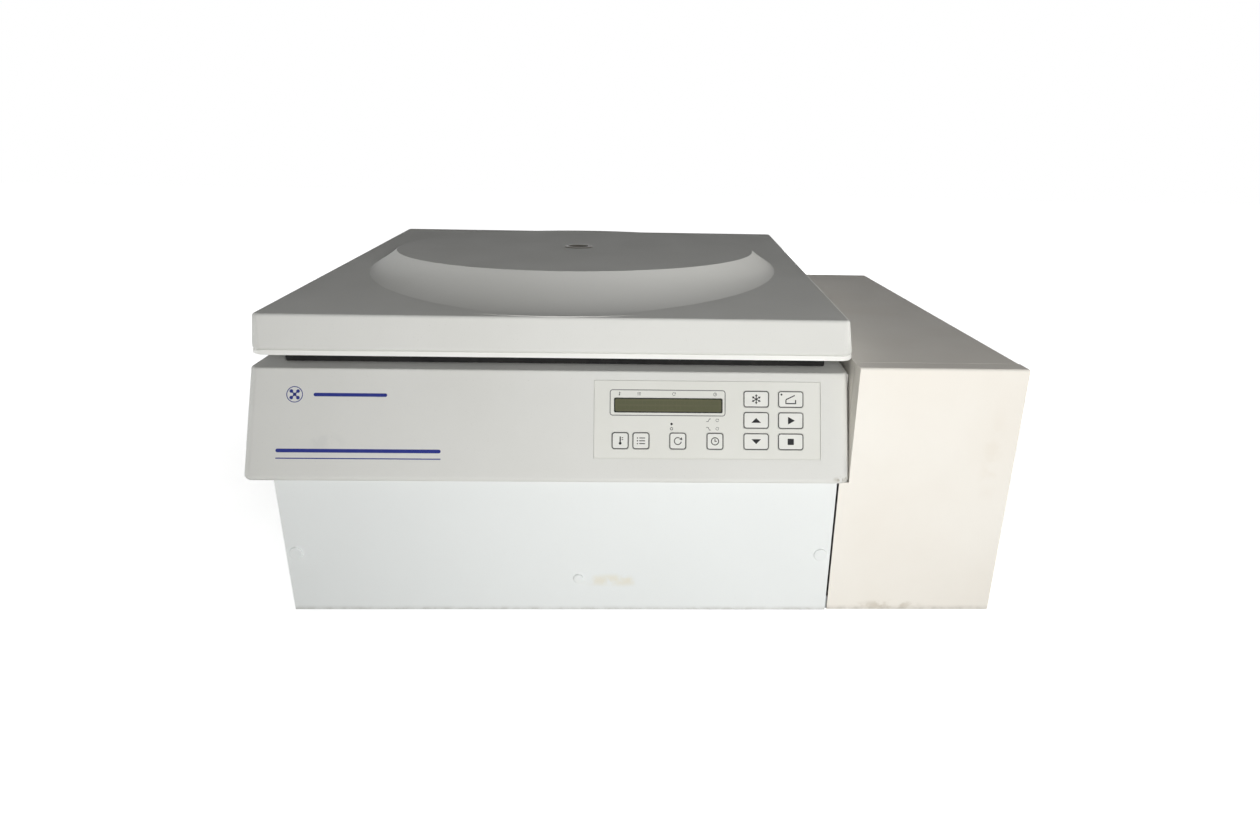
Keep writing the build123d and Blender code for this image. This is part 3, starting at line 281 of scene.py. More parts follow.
@dataclass(frozen=True)
class Finish:
    """A surface finish: its colour and how it varies, its gloss and its relief."""

    name: str
    colour: Colour
    shade: Colour
    patch: float = 90.0
    variation: float = 0.5
    roughness: float = 0.5
    roughness_change: float = 0.08
    metallic: float = 0.0
    grain: Grain = Grain.SMOOTH
    grain_size: float = 0.8
    grain_depth: float = 0.02
    specular: float = 0.3
    coat: float = 0.0
    speckle: float = 0.0
    dirt_below: float = 0.0
    dirt: Colour = (0.25, 0.22, 0.17)
    centre: Point = (0.0, 0.0)
    stains: tuple[Stain, ...] = ()

    def relief(self, graph: Graph) -> bpy.types.NodeSocket | None:
        """The small relief's shape.

        Args:
            graph: The material's nodes.

        Returns:
            The height; on a smooth finish, a broad soft noise.
        """
        if self.grain is Grain.SMOOTH:
            return graph.noise(self.grain_size * 40, 2.0)
        if self.grain is Grain.BRUSHED_X:
            return graph.noise(self.grain_size, 4.0, (0.02, 1, 1))
        if self.grain is Grain.BRUSHED_Z:
            return graph.noise(self.grain_size, 4.0, (1, 1, 0.02))
        if self.grain is Grain.TURNED:
            wave = graph.node("ShaderNodeTexWave", {"Vector": graph.around((*self.centre, 0))},
                              {"Scale": 0.3 / (self.grain_size * MM), "Distortion": 1.2, "Detail": 2.0},
                              wave_type="RINGS", rings_direction="Z")
            return wave.outputs["Fac"]
        return graph.noise(self.grain_size, 5.0 if self.grain is Grain.FOAM else 3.0)

    def make(self) -> bpy.types.Material:
        """Lays out the finish's material.

        Returns:
            The material.
        """
        graph = Graph(self.name)
        broad = graph.spread(graph.noise(self.patch, 5.0), *MIDDLE, 0.0, self.variation)
        colour = graph.blend(broad, self.colour, self.shade)
        if self.speckle:
            specks = graph.spread(graph.noise(SPECK_SIZE, 2.0), *SPECK_RANGE, 0.0, self.speckle)
            colour = graph.blend(specks, colour, self.dirt)
        if self.dirt_below:
            clean, dirty = ((self.dirt_below + off) * MM for off in DIRT_FADE)
            ragged = graph.spread(graph.noise(9.0, 4.0), *MIDDLE, *DIRT_STRENGTH)
            low = graph.spread(graph.height(), clean, dirty)
            colour = graph.blend(graph.times(low, ragged), colour, self.dirt)
        for stain in self.stains:
            colour = graph.blend(graph.near(stain), colour, stain.colour)
        graph.link(colour, graph.shader.inputs["Base Color"])
        gloss = graph.spread(graph.noise(self.patch * 0.3, 4.0), *MIDDLE,
                             self.roughness - self.roughness_change, self.roughness + self.roughness_change)
        graph.link(gloss, graph.shader.inputs["Roughness"])
        graph.surface(Metallic=self.metallic, Specular_IOR_Level=self.specular, Coat_Weight=self.coat)
        graph.bump(self.relief(graph), self.grain_depth)
        graph.material.diffuse_color = (*self.colour, 1)
        return graph.material


@dataclass(frozen=True)
class Clear:
    """A see-through finish with a faint tint and fine dust."""

    name: str
    colour: Colour
    roughness: float = 0.06

    def make(self) -> bpy.types.Material:
        """Lays out the clear material.

        Returns:
            The material.
        """
        graph = Graph(self.name)
        dust = graph.spread(graph.noise(3.0, 6.0), 0.4, 0.75, self.roughness, self.roughness + 0.14)
        graph.link(dust, graph.shader.inputs["Roughness"])
        tint = graph.blend(graph.spread(graph.noise(9.0), *MIDDLE), self.colour,
                           tuple(value * 0.9 for value in self.colour))
        graph.link(tint, graph.shader.inputs["Base Color"])
        graph.surface(Transmission_Weight=0.75, IOR=1.5)
        graph.bump(graph.noise(12.0, 2.0), 0.01)
        return graph.material


@dataclass(frozen=True)
class Finishes:
    """Every finish on the machine, made once and shared."""

    made: dict[str, bpy.types.Material] = field(default_factory=dict)

    def get(self, finish: Finish | Clear) -> bpy.types.Material:
        """A finish's material, made the first time that it is asked for.

        Args:
            finish: The finish.

        Returns:
            Its material.
        """
        if finish.name not in self.made:
            self.made[finish.name] = finish.make()
        return self.made[finish.name]


FINISHES = Finishes()

# The cabinet's front, the chamber's axis and the leaning deck, in millimetres.
FRONT_Y = -299.0
CHAMBER = (-71.5, FRONT_Y + 323.0)
DECK_Y = FRONT_Y + 35.0
DECK_Z = 258.5
DECK_SLOPE = 0.0495
DECK_NORMAL = (0.0, -0.0494, 0.9988)

CABINET = Finish("cabinet_powder_coat", linear(238, 241, 240), linear(234, 237, 236), patch=160.0,
                 roughness=0.55, roughness_change=0.03, specular=0.06, grain=Grain.FINE, grain_size=0.9,
                 grain_depth=0.03, speckle=0.1, dirt_below=29.0,
                 stains=(Stain(-18, FRONT_Y, 60, (46, 20, 9), linear(226, 214, 180), 0.4, 50),))
CREAM = Finish("cream_powder_coat", linear(244, 240, 232), linear(238, 232, 222), patch=110.0, roughness=0.55,
               roughness_change=0.03, specular=0.06, grain=Grain.FINE, grain_size=0.9, grain_depth=0.03,
               speckle=0.1, dirt_below=29.0,
               stains=(Stain(252, FRONT_Y, 32, (40, 20, 7), linear(176, 164, 144), 0.45, 90),
                       Stain(332, FRONT_Y, 190, (14, 20, 60), linear(232, 224, 210), 0.3, 45)))
MOULDING = Finish("structured_moulding", linear(226, 226, 222), linear(219, 219, 214), patch=120.0,
                  roughness=0.6, roughness_change=0.03, specular=0.04, grain=Grain.FINE, grain_size=1.1,
                  grain_depth=0.05, speckle=0.14,
                  stains=(Stain(-280, -290, 196, (26, 14, 12), linear(210, 211, 209), 0.4, 70),
                          Stain(192, -304, 168, (10, 12, 4), linear(150, 142, 125), 0.7, 150)))
# The lid's lower lip: the lid's own moulding painted lighter, a painted highlight on its rounded edge.
LIP_HIGHLIGHT = Finish("lid_lip_painted_highlight", linear(246, 246, 242), linear(240, 240, 236), patch=80.0, roughness=0.45,
             grain=Grain.FINE, grain_size=1.0, grain_depth=0.01)
FASCIA = Finish("fascia_film", linear(228, 228, 222), linear(222, 222, 215), patch=60.0, roughness=0.42,
                grain=Grain.FINE, grain_size=0.5, grain_depth=0.008, speckle=0.05)
KEY_FILM = Finish("key_film", linear(233, 233, 228), linear(227, 227, 221), patch=12.0, roughness=0.38,
                  grain=Grain.FINE, grain_size=0.5, grain_depth=0.006)
INK = Finish("black_print", linear(40, 40, 42), linear(56, 56, 57), patch=4.0, roughness=0.5,
             grain_depth=0.004)
GREY_INK = Finish("grey_print", linear(112, 112, 112), linear(130, 130, 129), patch=4.0, roughness=0.5,
                  grain_depth=0.004)
NAVY_INK = Finish("navy_print", linear(43, 52, 128), linear(52, 60, 132), patch=9.0, roughness=0.42,
                  grain_depth=0.004)
DISPLAY_EDGE = Finish("display_surround", linear(44, 45, 42), linear(54, 55, 50), patch=10.0, roughness=0.3,
                      grain_depth=0.004)
DISPLAY = Finish("liquid_crystal_display", linear(100, 100, 80), linear(94, 95, 76), patch=30.0,
                 roughness=0.4, roughness_change=0.04, specular=0.1, grain_depth=0.003)
DISPLAY_CELL = Finish("display_cells", linear(96, 97, 77), linear(93, 94, 75), patch=8.0, roughness=0.4,
                      specular=0.1, grain_depth=0.003)
RUBBER = Finish("black_rubber", linear(38, 38, 38), linear(50, 49, 48), patch=18.0, roughness=0.78,
                grain=Grain.FINE, grain_size=0.7, grain_depth=0.03)
GASKET = Finish("grey_gasket", linear(70, 71, 72), linear(60, 60, 61), patch=25.0, roughness=0.72,
                grain=Grain.FINE, grain_size=0.8, grain_depth=0.02)
BLACK = Finish("black_moulding", linear(34, 34, 36), linear(44, 44, 45), patch=22.0, roughness=0.42,
               grain=Grain.FINE, grain_size=0.5, grain_depth=0.015)
PORT_RING = Finish("sight_port_ring", linear(96, 93, 86), linear(78, 76, 70), patch=6.0, roughness=0.4,
                   grain=Grain.FINE, grain_size=0.5, grain_depth=0.01)
LINER = Finish("lid_liner_moulding", linear(206, 206, 202), linear(196, 196, 191), patch=80.0, roughness=0.5,
               grain=Grain.FINE, grain_size=0.8, grain_depth=0.02, speckle=0.08)
ZINC = Finish("zinc_plated_sheet", linear(176, 178, 178), linear(150, 153, 155), patch=28.0, variation=0.9,
              roughness=0.38, roughness_change=0.12, metallic=1.0, grain=Grain.BRUSHED_X, grain_size=0.6,
              grain_depth=0.006)
BOWL = Finish("spun_steel_bowl", linear(196, 197, 198), linear(176, 178, 180), patch=60.0, roughness=0.3,
              roughness_change=0.1, metallic=1.0, grain=Grain.TURNED, grain_size=1.6, grain_depth=0.01,
              centre=CHAMBER)
STEEL = Finish("turned_steel", linear(186, 187, 189), linear(160, 162, 165), patch=16.0, roughness=0.28,
               metallic=1.0, grain=Grain.BRUSHED_Z, grain_size=0.5, grain_depth=0.004)
ROTOR = Finish("rotor_coating", linear(120, 124, 128), linear(104, 108, 113), patch=34.0, roughness=0.42,
               metallic=0.75, grain=Grain.CAST, grain_size=1.4, grain_depth=0.03, speckle=0.1)
BUCKET = Finish("anodised_bucket", linear(188, 190, 192), linear(170, 173, 176), patch=26.0, roughness=0.36,
                metallic=0.9, grain=Grain.FINE, grain_size=0.5, grain_depth=0.008)
CASTING = Finish("motor_casting", linear(150, 152, 154), linear(128, 130, 133), patch=24.0, roughness=0.55,
                 metallic=0.8, grain=Grain.CAST, grain_size=2.2, grain_depth=0.08)
COPPER = Finish("copper_tube", linear(196, 128, 92), linear(150, 92, 66), patch=30.0, variation=0.9,
                roughness=0.34, metallic=1.0, grain=Grain.SMOOTH, grain_size=0.5, grain_depth=0.01)
FOAM = Finish("insulating_foam", linear(226, 214, 170), linear(206, 190, 142), patch=30.0, variation=0.8,
              roughness=0.9, grain=Grain.FOAM, grain_size=2.5, grain_depth=0.4)
BOARD = Finish("green_board", linear(24, 88, 48), linear(20, 72, 40), patch=10.0, roughness=0.35,
               grain_depth=0.01)
COMPRESSOR = Finish("compressor_enamel", linear(26, 26, 28), linear(34, 34, 35), patch=30.0, roughness=0.28,
                    grain=Grain.FINE, grain_size=1.6, grain_depth=0.02, coat=0.4)
FINS = Finish("condenser_fins", linear(170, 172, 176), linear(140, 142, 146), patch=14.0, variation=0.8,
              roughness=0.4, metallic=0.9, grain=Grain.BRUSHED_Z, grain_size=0.6, grain_depth=0.01)
NUT = Finish("nut_steel", linear(150, 152, 156), linear(128, 130, 135), patch=10.0, roughness=0.3,
             metallic=1.0, grain=Grain.BRUSHED_Z, grain_size=0.5, grain_depth=0.006)
WHITE_INK = Finish("white_print", linear(232, 232, 230), linear(222, 222, 220), patch=3.0, roughness=0.5,
                   grain_depth=0.004)
SIGHT = Clear("sight_glass_clear", linear(190, 192, 184))

NODE_FINISHES: dict[Finish | Clear, tuple[str, ...]] = {
    CABINET: ("front_panel", "left_side_panel", "rear_panel", "partition_wall", "screw_caps",
              "release_plug"),
    CREAM: ("side_cover", "side_front_panel", "rear_grille"),
    MOULDING: ("upper_housing", "lid_cover"),
    FASCIA: ("control_overlay",),
    DISPLAY_EDGE: ("display_module",),
    BOARD: ("keypad_board",),
    RUBBER: ("rubber_feet", "rear_bumpers", "motor_dampers", "shaft_seal"),
    GASKET: ("lid_seal",),
    BLACK: ("mains_inlet", "switch_frame", "mains_rocker", "fan_rotor"),
    PORT_RING: ("sight_tube",),
    LINER: ("lid_liner",),
    ZINC: ("base_tray", "lock_frame", "lid_base_plate", "hinge_brackets", "lid_hinge_arms", "lid_striker",
           "latch_hook_left", "latch_hook_right"),
    BOWL: ("chamber_bowl",),
    STEEL: ("motor_shaft", "motor_bearings", "trunnion_pins"),
    ROTOR: ("rotor_cross",),
    BUCKET: ("swing_bucket_1", "swing_bucket_2", "swing_bucket_3", "swing_bucket_4"),
    CASTING: ("motor_housing", "fan_motor"),
    COPPER: ("evaporator_coil",),
    FOAM: ("chamber_insulation",),
    COMPRESSOR: ("compressor",),
    FINS: ("condenser",),
    NUT: ("rotor_nut",),
    SIGHT: ("sight_glass",),
    KEY_FILM: ("key_temperature", "key_program", "key_speed", "key_time", "key_down", "key_up",
               "key_fast_cool", "key_stop", "key_start", "key_open"),
}


def round_rect(across: float, up: float, width: float, height: float, radius: float, steps: int = 6
               ) -> list[Point]:
    """Outline of a rectangle with rounded corners, anticlockwise.

    Args:
        across: Centre across.
        up: Centre up.
        width: Full width.
        height: Full height.
        radius: Corner radius.
        steps: Points in each corner's arc.

    Returns:
        The outline's points.
    """
    points = []
    for turn, (side, top) in enumerate(((1, 1), (-1, 1), (-1, -1), (1, -1))):
        x, y = across + side * (width / 2 - radius), up + top * (height / 2 - radius)
        for step in range(steps + 1):
            angle = math.radians(90 * turn + 90 * step / steps)
            points.append((x + radius * math.cos(angle), y + radius * math.sin(angle)))
    return points


def circle(across: float, up: float, radius: float, count: int = 32) -> list[Point]:
    """Outline of a circle, anticlockwise."""
    angles = [2 * math.pi * step / count for step in range(count)]
    return [(across + radius * math.cos(a), up + radius * math.sin(a)) for a in angles]


def bar(start: Point, end: Point, thick: float) -> list[Point]:
    """Outline of a straight bar.

    Args:
        start: One end.
        end: The other end.
        thick: The bar's thickness.

    Returns:
        Its four corners, anticlockwise.
    """
    along_x, along_y = end[0] - start[0], end[1] - start[1]
    length = math.hypot(along_x, along_y)
    side_x, side_y = -along_y / length * thick / 2, along_x / length * thick / 2
    return [(start[0] - side_x, start[1] - side_y), (end[0] - side_x, end[1] - side_y),
            (end[0] + side_x, end[1] + side_y), (start[0] + side_x, start[1] + side_y)]


def arc(across: float, up: float, radius: float, thick: float, first: float, last: float, count: int = 20
        ) -> list[Point]:
    """Outline of part of a ring.

    Args:
        across: Centre across.
        up: Centre up.
        radius: Middle radius.
        thick: The ring's thickness.
        first: First angle, in degrees.
        last: Last angle, in degrees.
        count: Steps along the arc.

    Returns:
        The outline's points, anticlockwise.
    """
    angles = [math.radians(first + (last - first) * step / count) for step in range(count + 1)]
    far, near = radius + thick / 2, radius - thick / 2
    outer = [(across + far * math.cos(a), up + far * math.sin(a)) for a in angles]
    inner = [(across + near * math.cos(a), up + near * math.sin(a)) for a in angles]
    return outer + inner[::-1]


@dataclass(frozen=True)
class Face:
    """A flat place on the machine: where it starts and which way it runs, in millimetres."""

    origin: tuple[float, float, float]
    right: Vector
    up: Vector

    @property
    def out(self) -> Vector:
        """The direction that the face looks in."""
        return self.right.cross(self.up)

    def at(self, across: float, up: float, out: float) -> Vector:
        """A point of the face.

        Args:
            across: Millimetres to the right.
            up: Millimetres up the face.
            out: Millimetres off the face.

        Returns:
            The point, in metres.
        """
        return (Vector(self.origin) + self.right * across + self.up * up + self.out * out) * MM


class Sheet:
    """Thin closed shapes on one face, gathered into one mesh."""

    def __init__(self, face: Face) -> None:
        """Starts with nothing on the face."""
        self.face = face
        self.mesh = bmesh.new()

    def plate(self, outline: Sequence[Point], low: float, high: float) -> "Sheet":
        """Adds a plate.

        Args:
            outline: Its outline, anticlockwise.
            low: Its underside's height off the face.
            high: Its top's height off the face.

        Returns:
            The sheet itself.
        """
        bottom = [self.mesh.verts.new(self.face.at(x, y, low)) for x, y in outline]
        top = [self.mesh.verts.new(self.face.at(x, y, high)) for x, y in outline]
        self.mesh.faces.new(top)
        self.mesh.faces.new(bottom[::-1])
        for step in range(len(outline)):
            after = (step + 1) % len(outline)
            self.mesh.faces.new((bottom[step], bottom[after], top[after], top[step]))
        return self

    def frame(self, outer: Sequence[Point], inner: Sequence[Point], low: float, high: float) -> "Sheet":
        """Adds a plate with a hole, whose two outlines have as many points.

        Args:
            outer: The outer outline, anticlockwise.
            inner: The hole's outline, anticlockwise.
            low: The underside's height off the face.
            high: The top's height off the face.

        Returns:
            The sheet itself.
        """
        loops = [[self.mesh.verts.new(self.face.at(x, y, z)) for x, y in line]
                 for line, z in ((outer, low), (outer, high), (inner, high), (inner, low))]
        for first, second in zip(loops, loops[1:] + loops[:1]):
            for step in range(len(outer)):
                after = (step + 1) % len(outer)
                self.mesh.faces.new((first[step], first[after], second[after], second[step]))
        return self

    def finish(self, name: str, finish: Finish, body: str, slot: str, soften: float = 0.0
               ) -> bpy.types.Object:
        """Turns the shapes into a piece that rides on a body.

        Args:
            name: The piece's name.
            finish: Its finish.
            body: The body that carries it.
            slot: The record's material slot.
            soften: Bevel width on its edges, in millimetres.

        Returns:
            The piece.
        """
        if soften:
            bmesh.ops.bevel(self.mesh, geom=self.mesh.edges[:], offset=soften * MM, segments=2,
                            affect="EDGES", clamp_overlap=True)
        data = bpy.data.meshes.new(name)
        bmesh.ops.recalc_face_normals(self.mesh, faces=self.mesh.faces[:])
        self.mesh.to_mesh(data)
        self.mesh.free()
        return place(name, data, finish, body, slot)


def place(name: str, data: bpy.types.Mesh, finish: Finish, body: str, slot: str) -> bpy.types.Object:
    """Puts a finished mesh in the scene, on its body.

    Args:
        name: The piece's name.
        data: Its mesh, already in place.
        finish: Its finish.
        body: The body that carries it.
        slot: Not used.

    Returns:
        The piece.
    """
    piece = bpy.data.objects.new(name, data)
    bpy.context.scene.collection.objects.link(piece)
    if not data.materials:
        data.materials.append(FINISHES.get(finish))
    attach(piece, body)
    log.info("%s: %d faces, rides on %s", name, len(data.polygons), body)
    return piece


class Tree(Nodes):
    """A Geometry Nodes tree with named inputs, used once as a modifier and then made a plain mesh."""

    def __init__(self, name: str) -> None:
        """Starts a tree with a geometry input and output.

        Args:
            name: The tree's name.
        """
        super().__init__(bpy.data.node_groups.new(name, "GeometryNodeTree"))
        for way in ("INPUT", "OUTPUT"):
            self.tree.interface.new_socket("Geometry", in_out=way, socket_type="NodeSocketGeometry")
        self.identifiers: dict[str, str] = {}
        self.start = self.node("NodeGroupInput")
        self.end = self.node("NodeGroupOutput")

    def size(self, name: str, value: float) -> bpy.types.NodeSocket:
        """Adds a named size.

        Args:
            name: What it measures.
            value: Its usual value, in millimetres.

        Returns:
            The socket that gives it.
        """
        made = self.tree.interface.new_socket(name, in_out="INPUT", socket_type="NodeSocketFloat")
        made.default_value = value * MM
        self.identifiers[name] = made.identifier
        return self.start.outputs[name]

    def scaled(self, size: bpy.types.NodeSocket, share: float) -> bpy.types.NodeSocket:
        """A size times a number."""
        return self.node("ShaderNodeMath", {0: size}, {1: share}, operation="MULTIPLY").outputs[0]

    def on_spots(self, shape: bpy.types.NodeSocket, turned: bool = True) -> bpy.types.NodeSocket:
        """Puts a shape on each of the tree's starting points.

        Args:
            shape: The shape.
            turned: Whether it turns towards its point's facing direction.

        Returns:
            The placed shapes.
        """
        links = {"Points": self.start.outputs["Geometry"], "Instance": shape}
        if turned:
            way = self.node("GeometryNodeInputNamedAttribute", values={"Name": "facing"},
                            data_type="FLOAT_VECTOR")
            links["Rotation"] = self.node("FunctionNodeAlignRotationToVector",
                                          {"Vector": way.outputs["Attribute"]}, axis="Z").outputs["Rotation"]
        return self.node("GeometryNodeInstanceOnPoints", links).outputs["Instances"]

    def painted(self, geometry: bpy.types.NodeSocket, finish: Finish) -> bpy.types.NodeSocket:
        """Gives geometry a finish."""
        made = self.node("GeometryNodeSetMaterial", {"Geometry": geometry},
                         {"Material": FINISHES.get(finish)})
        return made.outputs["Geometry"]

    def joined(self, *parts: bpy.types.NodeSocket) -> bpy.types.NodeSocket:
        """Puts several geometries together."""
        made = self.node("GeometryNodeJoinGeometry")
        for part in parts:
            self.link(part, made.inputs[0])
        return made.outputs[0]

    def close(self, geometry: bpy.types.NodeSocket) -> None:
        """Ends the tree with real geometry in place of instances."""
        real = self.node("GeometryNodeRealizeInstances", {"Geometry": geometry})
        self.link(real.outputs["Geometry"], self.end.inputs[0])

    def run(self, source: bpy.types.Mesh, name: str, finish: Finish, body: str, slot: str,
            sizes: dict[str, float] | None = None) -> bpy.types.Object:
        """Runs the tree on a mesh and keeps the result as a plain piece.

        Args:
            source: The mesh that the tree starts from.
            name: The piece's name.
            finish: Its finish where the tree sets none.
            body: The body that carries it.
            slot: The record's material slot.
            sizes: Values for named sizes, in millimetres.

        Returns:
            The piece.
        """
        holder = bpy.data.objects.new(name + "_source", source)
        bpy.context.scene.collection.objects.link(holder)
        modifier = holder.modifiers.new("shape", "NODES")
        modifier.node_group = self.tree
        for size, value in (sizes or {}).items():
            modifier[self.identifiers[size]] = value * MM
        bpy.context.view_layer.update()
        evaluated = holder.evaluated_get(bpy.context.evaluated_depsgraph_get())
        data = bpy.data.meshes.new_from_object(evaluated)
        data.name = name
        holder.modifiers.remove(modifier)
        bpy.data.objects.remove(holder)
        return place(name, data, finish, body, slot)


def spots(places: Iterable[tuple[Vector, Vector]]) -> bpy.types.Mesh:
    """A mesh of loose points, each with the direction that its fitting faces.

    Args:
        places: Each point, in metres, with its direction.

    Returns:
        The mesh, with a vector attribute named facing.
    """
    rows = list(places)
    data = bpy.data.meshes.new("spots")
    data.from_pydata([tuple(point) for point, _ in rows], [], [])
    facing = data.attributes.new("facing", "FLOAT_VECTOR", "POINT")
    facing.data.foreach_set("vector", [value for _, way in rows for value in way])
    return data


def screw_tree() -> Tree:
    """Pan head screws, one on each point, with a cross recess that is not cut but painted shade: two thin
    black bars on the head.

    Returns:
        The tree.
    """
    tree = Tree("screw_heads")
    radius, height = tree.size("Head radius", 3.6), tree.size("Head height", 1.6)
    slot = tree.size("Recess shade width", 0.7)
    head = tree.node("GeometryNodeMeshCone", {"Radius Top": tree.scaled(radius, 0.72),
                                              "Radius Bottom": radius, "Depth": height}, {"Vertices": 24})
    reach, lift = tree.scaled(radius, 1.05), tree.scaled(height, 0.97)
    parts = [tree.painted(head.outputs["Mesh"], NUT)]
    # Painted shade: two thin black bars on the head stand in for the dark of the cross recess.
    for long_axis, short_axis in ("XY", "YX"):
        size = tree.node("ShaderNodeCombineXYZ", {long_axis: reach, short_axis: slot}, {"Z": 0.1 * MM})
        cube = tree.node("GeometryNodeMeshCube", {"Size": size.outputs[0]})
        move = tree.node("ShaderNodeCombineXYZ", {"Z": lift})
        moved = tree.node("GeometryNodeTransform", {"Geometry": cube.outputs["Mesh"],
                                                    "Translation": move.outputs[0]})
        parts.append(tree.painted(moved.outputs["Geometry"], INK))
    tree.close(tree.on_spots(tree.joined(*parts)))
    return tree


def lip_tree(along: Vector) -> Tree:
    """Rounded pressed lips, one on each point, for the upper edge of a vent slot.

    Args:
        along: The direction that the slots run in.

    Returns:
        The tree.
    """
    tree = Tree("vent_lips")
    length, radius = tree.size("Lip length", 110.0), tree.size("Lip radius", 0.8)
    way = tree.node("ShaderNodeVectorMath", {"Scale": tree.scaled(length, 0.5)}, {0: tuple(along)},
                    operation="SCALE").outputs[0]
    back = tree.node("ShaderNodeVectorMath", {0: way}, {1: (-1, -1, -1)}, operation="MULTIPLY").outputs[0]
    line = tree.node("GeometryNodeCurvePrimitiveLine", {"Start": back, "End": way})
    ring = tree.node("GeometryNodeCurvePrimitiveCircle", {"Radius": radius}, {"Resolution": 10})
    rod = tree.node("GeometryNodeCurveToMesh", {"Curve": line.outputs[0], "Profile Curve": ring.outputs[0]},
                    {"Fill Caps": True})
    smooth = tree.node("GeometryNodeSetShadeSmooth", {0: tree.on_spots(rod.outputs["Mesh"], False)})
    tree.close(tree.painted(smooth.outputs[0], CREAM))
    return tree


def cell_tree() -> Tree:
    """Small plates in a grid, for a display's character cells.

    Returns:
        The tree.
    """
    tree = Tree("display_cells")
    width, height = tree.size("Cell width", 2.9), tree.size("Cell height", 4.6)
    thick = tree.size("Thickness", 0.05)
    size = tree.node("ShaderNodeCombineXYZ", {"X": width, "Y": height, "Z": thick})
    cube = tree.node("GeometryNodeMeshCube", {"Size": size.outputs[0]})
    tree.close(tree.painted(tree.on_spots(cube.outputs["Mesh"]), DISPLAY_CELL))
    return tree


class Mark(Enum):
    """The plain signs on the keys and beside the display."""

    THERMOMETER = "thermometer"
    LIST = "list"
    ROUND_ARROW = "round arrow"
    CLOCK = "clock"
    DOWN = "down"
    UP = "up"
    FLAKE = "flake"
    SQUARE = "square"
    PLAY = "play"
    LID = "lid"
    ROTOR = "rotor"
    RAMP_UP = "ramp up"
    RAMP_DOWN = "ramp down"


# The usual thickness of a sign's lines, for a height of 1.
LINE = 0.11


def spoke(degrees: float, start: float, end: float, thick: float, middle: Point = (0.0, 0.0)
          ) -> list[Point]:
    """Outline of a bar that points away from a middle.

    Args:
        degrees: The way that it points.
        start: How far from the middle it starts.
        end: How far from the middle it ends.
        thick: Its thickness.
        middle: The middle.

    Returns:
        Its four corners, anticlockwise.
    """
    x, y = math.cos(math.radians(degrees)), math.sin(math.radians(degrees))
    near, far = ((middle[0] + off * x, middle[1] + off * y) for off in (start, end))
    return bar(near, far, thick)


def flake() -> list[list[Point]]:
    """A snowflake: three crossed bars, each with two twigs at both ends."""
    shapes = []
    for degrees in (90, 150, 210):
        shapes.append(spoke(degrees, -0.5, 0.5, 0.8 * LINE))
        for way in (-1, 1):
            x, y = (way * 0.28 * part(math.radians(degrees)) for part in (math.cos, math.sin))
            shapes += [spoke(degrees + lean, 0.0, way * 0.16, 0.7 * LINE, (x, y)) for lean in (-45, 45)]
    return shapes


def rotor_sign() -> list[list[Point]]:
    """A rotor seen from above: a rim, a hub, and four arms with a bucket each."""
    shapes = [arc(0, 0, 0.47, 0.05, 0, 359.5, 48), circle(0, 0, 0.1, 24)]
    for degrees in (45, 135, 225, 315):
        x, y = (0.28 * part(math.radians(degrees)) for part in (math.cos, math.sin))
        shapes += [spoke(degrees, 0.0, 0.2, 0.07), circle(x, y, 0.11, 20)]
    return shapes


def ramp(lean: int) -> list[list[Point]]:
    """A line that climbs (1) or falls (-1) between two level pieces."""
    return [bar((-0.5, -0.3 * lean), (-0.05, -0.3 * lean), LINE),
            bar((-0.08, -0.32 * lean), (0.22, 0.32 * lean), LINE),
            bar((0.18, 0.3 * lean), (0.5, 0.3 * lean), LINE)]


ARROW_TIP = (0.42 * math.cos(0.5), 0.42 * math.sin(0.5))
# The outlines of each sign, about the origin and for a height of 1.
SIGNS: dict[Mark, list[list[Point]]] = {
    Mark.THERMOMETER: [circle(0, -0.32, 0.17, 20), bar((0, -0.3), (0, 0.5), 0.15),
                       *(bar((0.17, up), (0.36, up), 0.8 * LINE) for up in (0.36, 0.12))],
    Mark.LIST: [*(bar((-0.2, up), (0.5, up), LINE) for up in (0.34, 0.0, -0.34)),
                *(circle(-0.42, up, 0.08, 14) for up in (0.34, 0.0, -0.34))],
    Mark.ROUND_ARROW: [arc(0, 0, 0.42, LINE, 60, 350),
                       [(ARROW_TIP[0] + x, ARROW_TIP[1] + y)
                        for x, y in ((-0.22, 0.02), (0.18, -0.1), (0.1, 0.26))]],
    Mark.CLOCK: [arc(0, 0, 0.44, LINE, 0, 359.5, 36), bar((0, -LINE / 2), (0, 0.3), LINE),
                 bar((0, 0), (0.22, 0), LINE)],
    Mark.DOWN: [[(-0.5, 0.25), (0, -0.25), (0.5, 0.25)]],
    Mark.UP: [[(-0.5, -0.25), (0.5, -0.25), (0, 0.25)]],
    Mark.FLAKE: flake(),
    Mark.SQUARE: [round_rect(0, 0, 0.72, 0.72, 0.06, 3)],
    Mark.PLAY: [[(-0.3, -0.42), (0.45, 0), (-0.3, 0.42)]],
    Mark.LID: [bar((-0.5, -0.42), (0.5, -0.42), LINE), bar((-0.5, -0.46), (-0.5, -0.05), LINE),
               bar((0.5, -0.46), (0.5, -0.05), LINE), bar((-0.5, -0.02), (0.42, 0.42), LINE)],
    Mark.ROTOR: rotor_sign(),
    Mark.RAMP_UP: ramp(1),
    Mark.RAMP_DOWN: ramp(-1),
}


def strokes(mark: Mark, x: float, y: float, height: float) -> list[list[Point]]:
    """Outlines of one sign at its place.

    Args:
        mark: The sign.
        x: Its centre across.
        y: Its centre up.
        height: Its rough height.

    Returns:
        Closed outlines.
    """
    return [[(x + height * across, y + height * up) for across, up in outline] for outline in SIGNS[mark]]


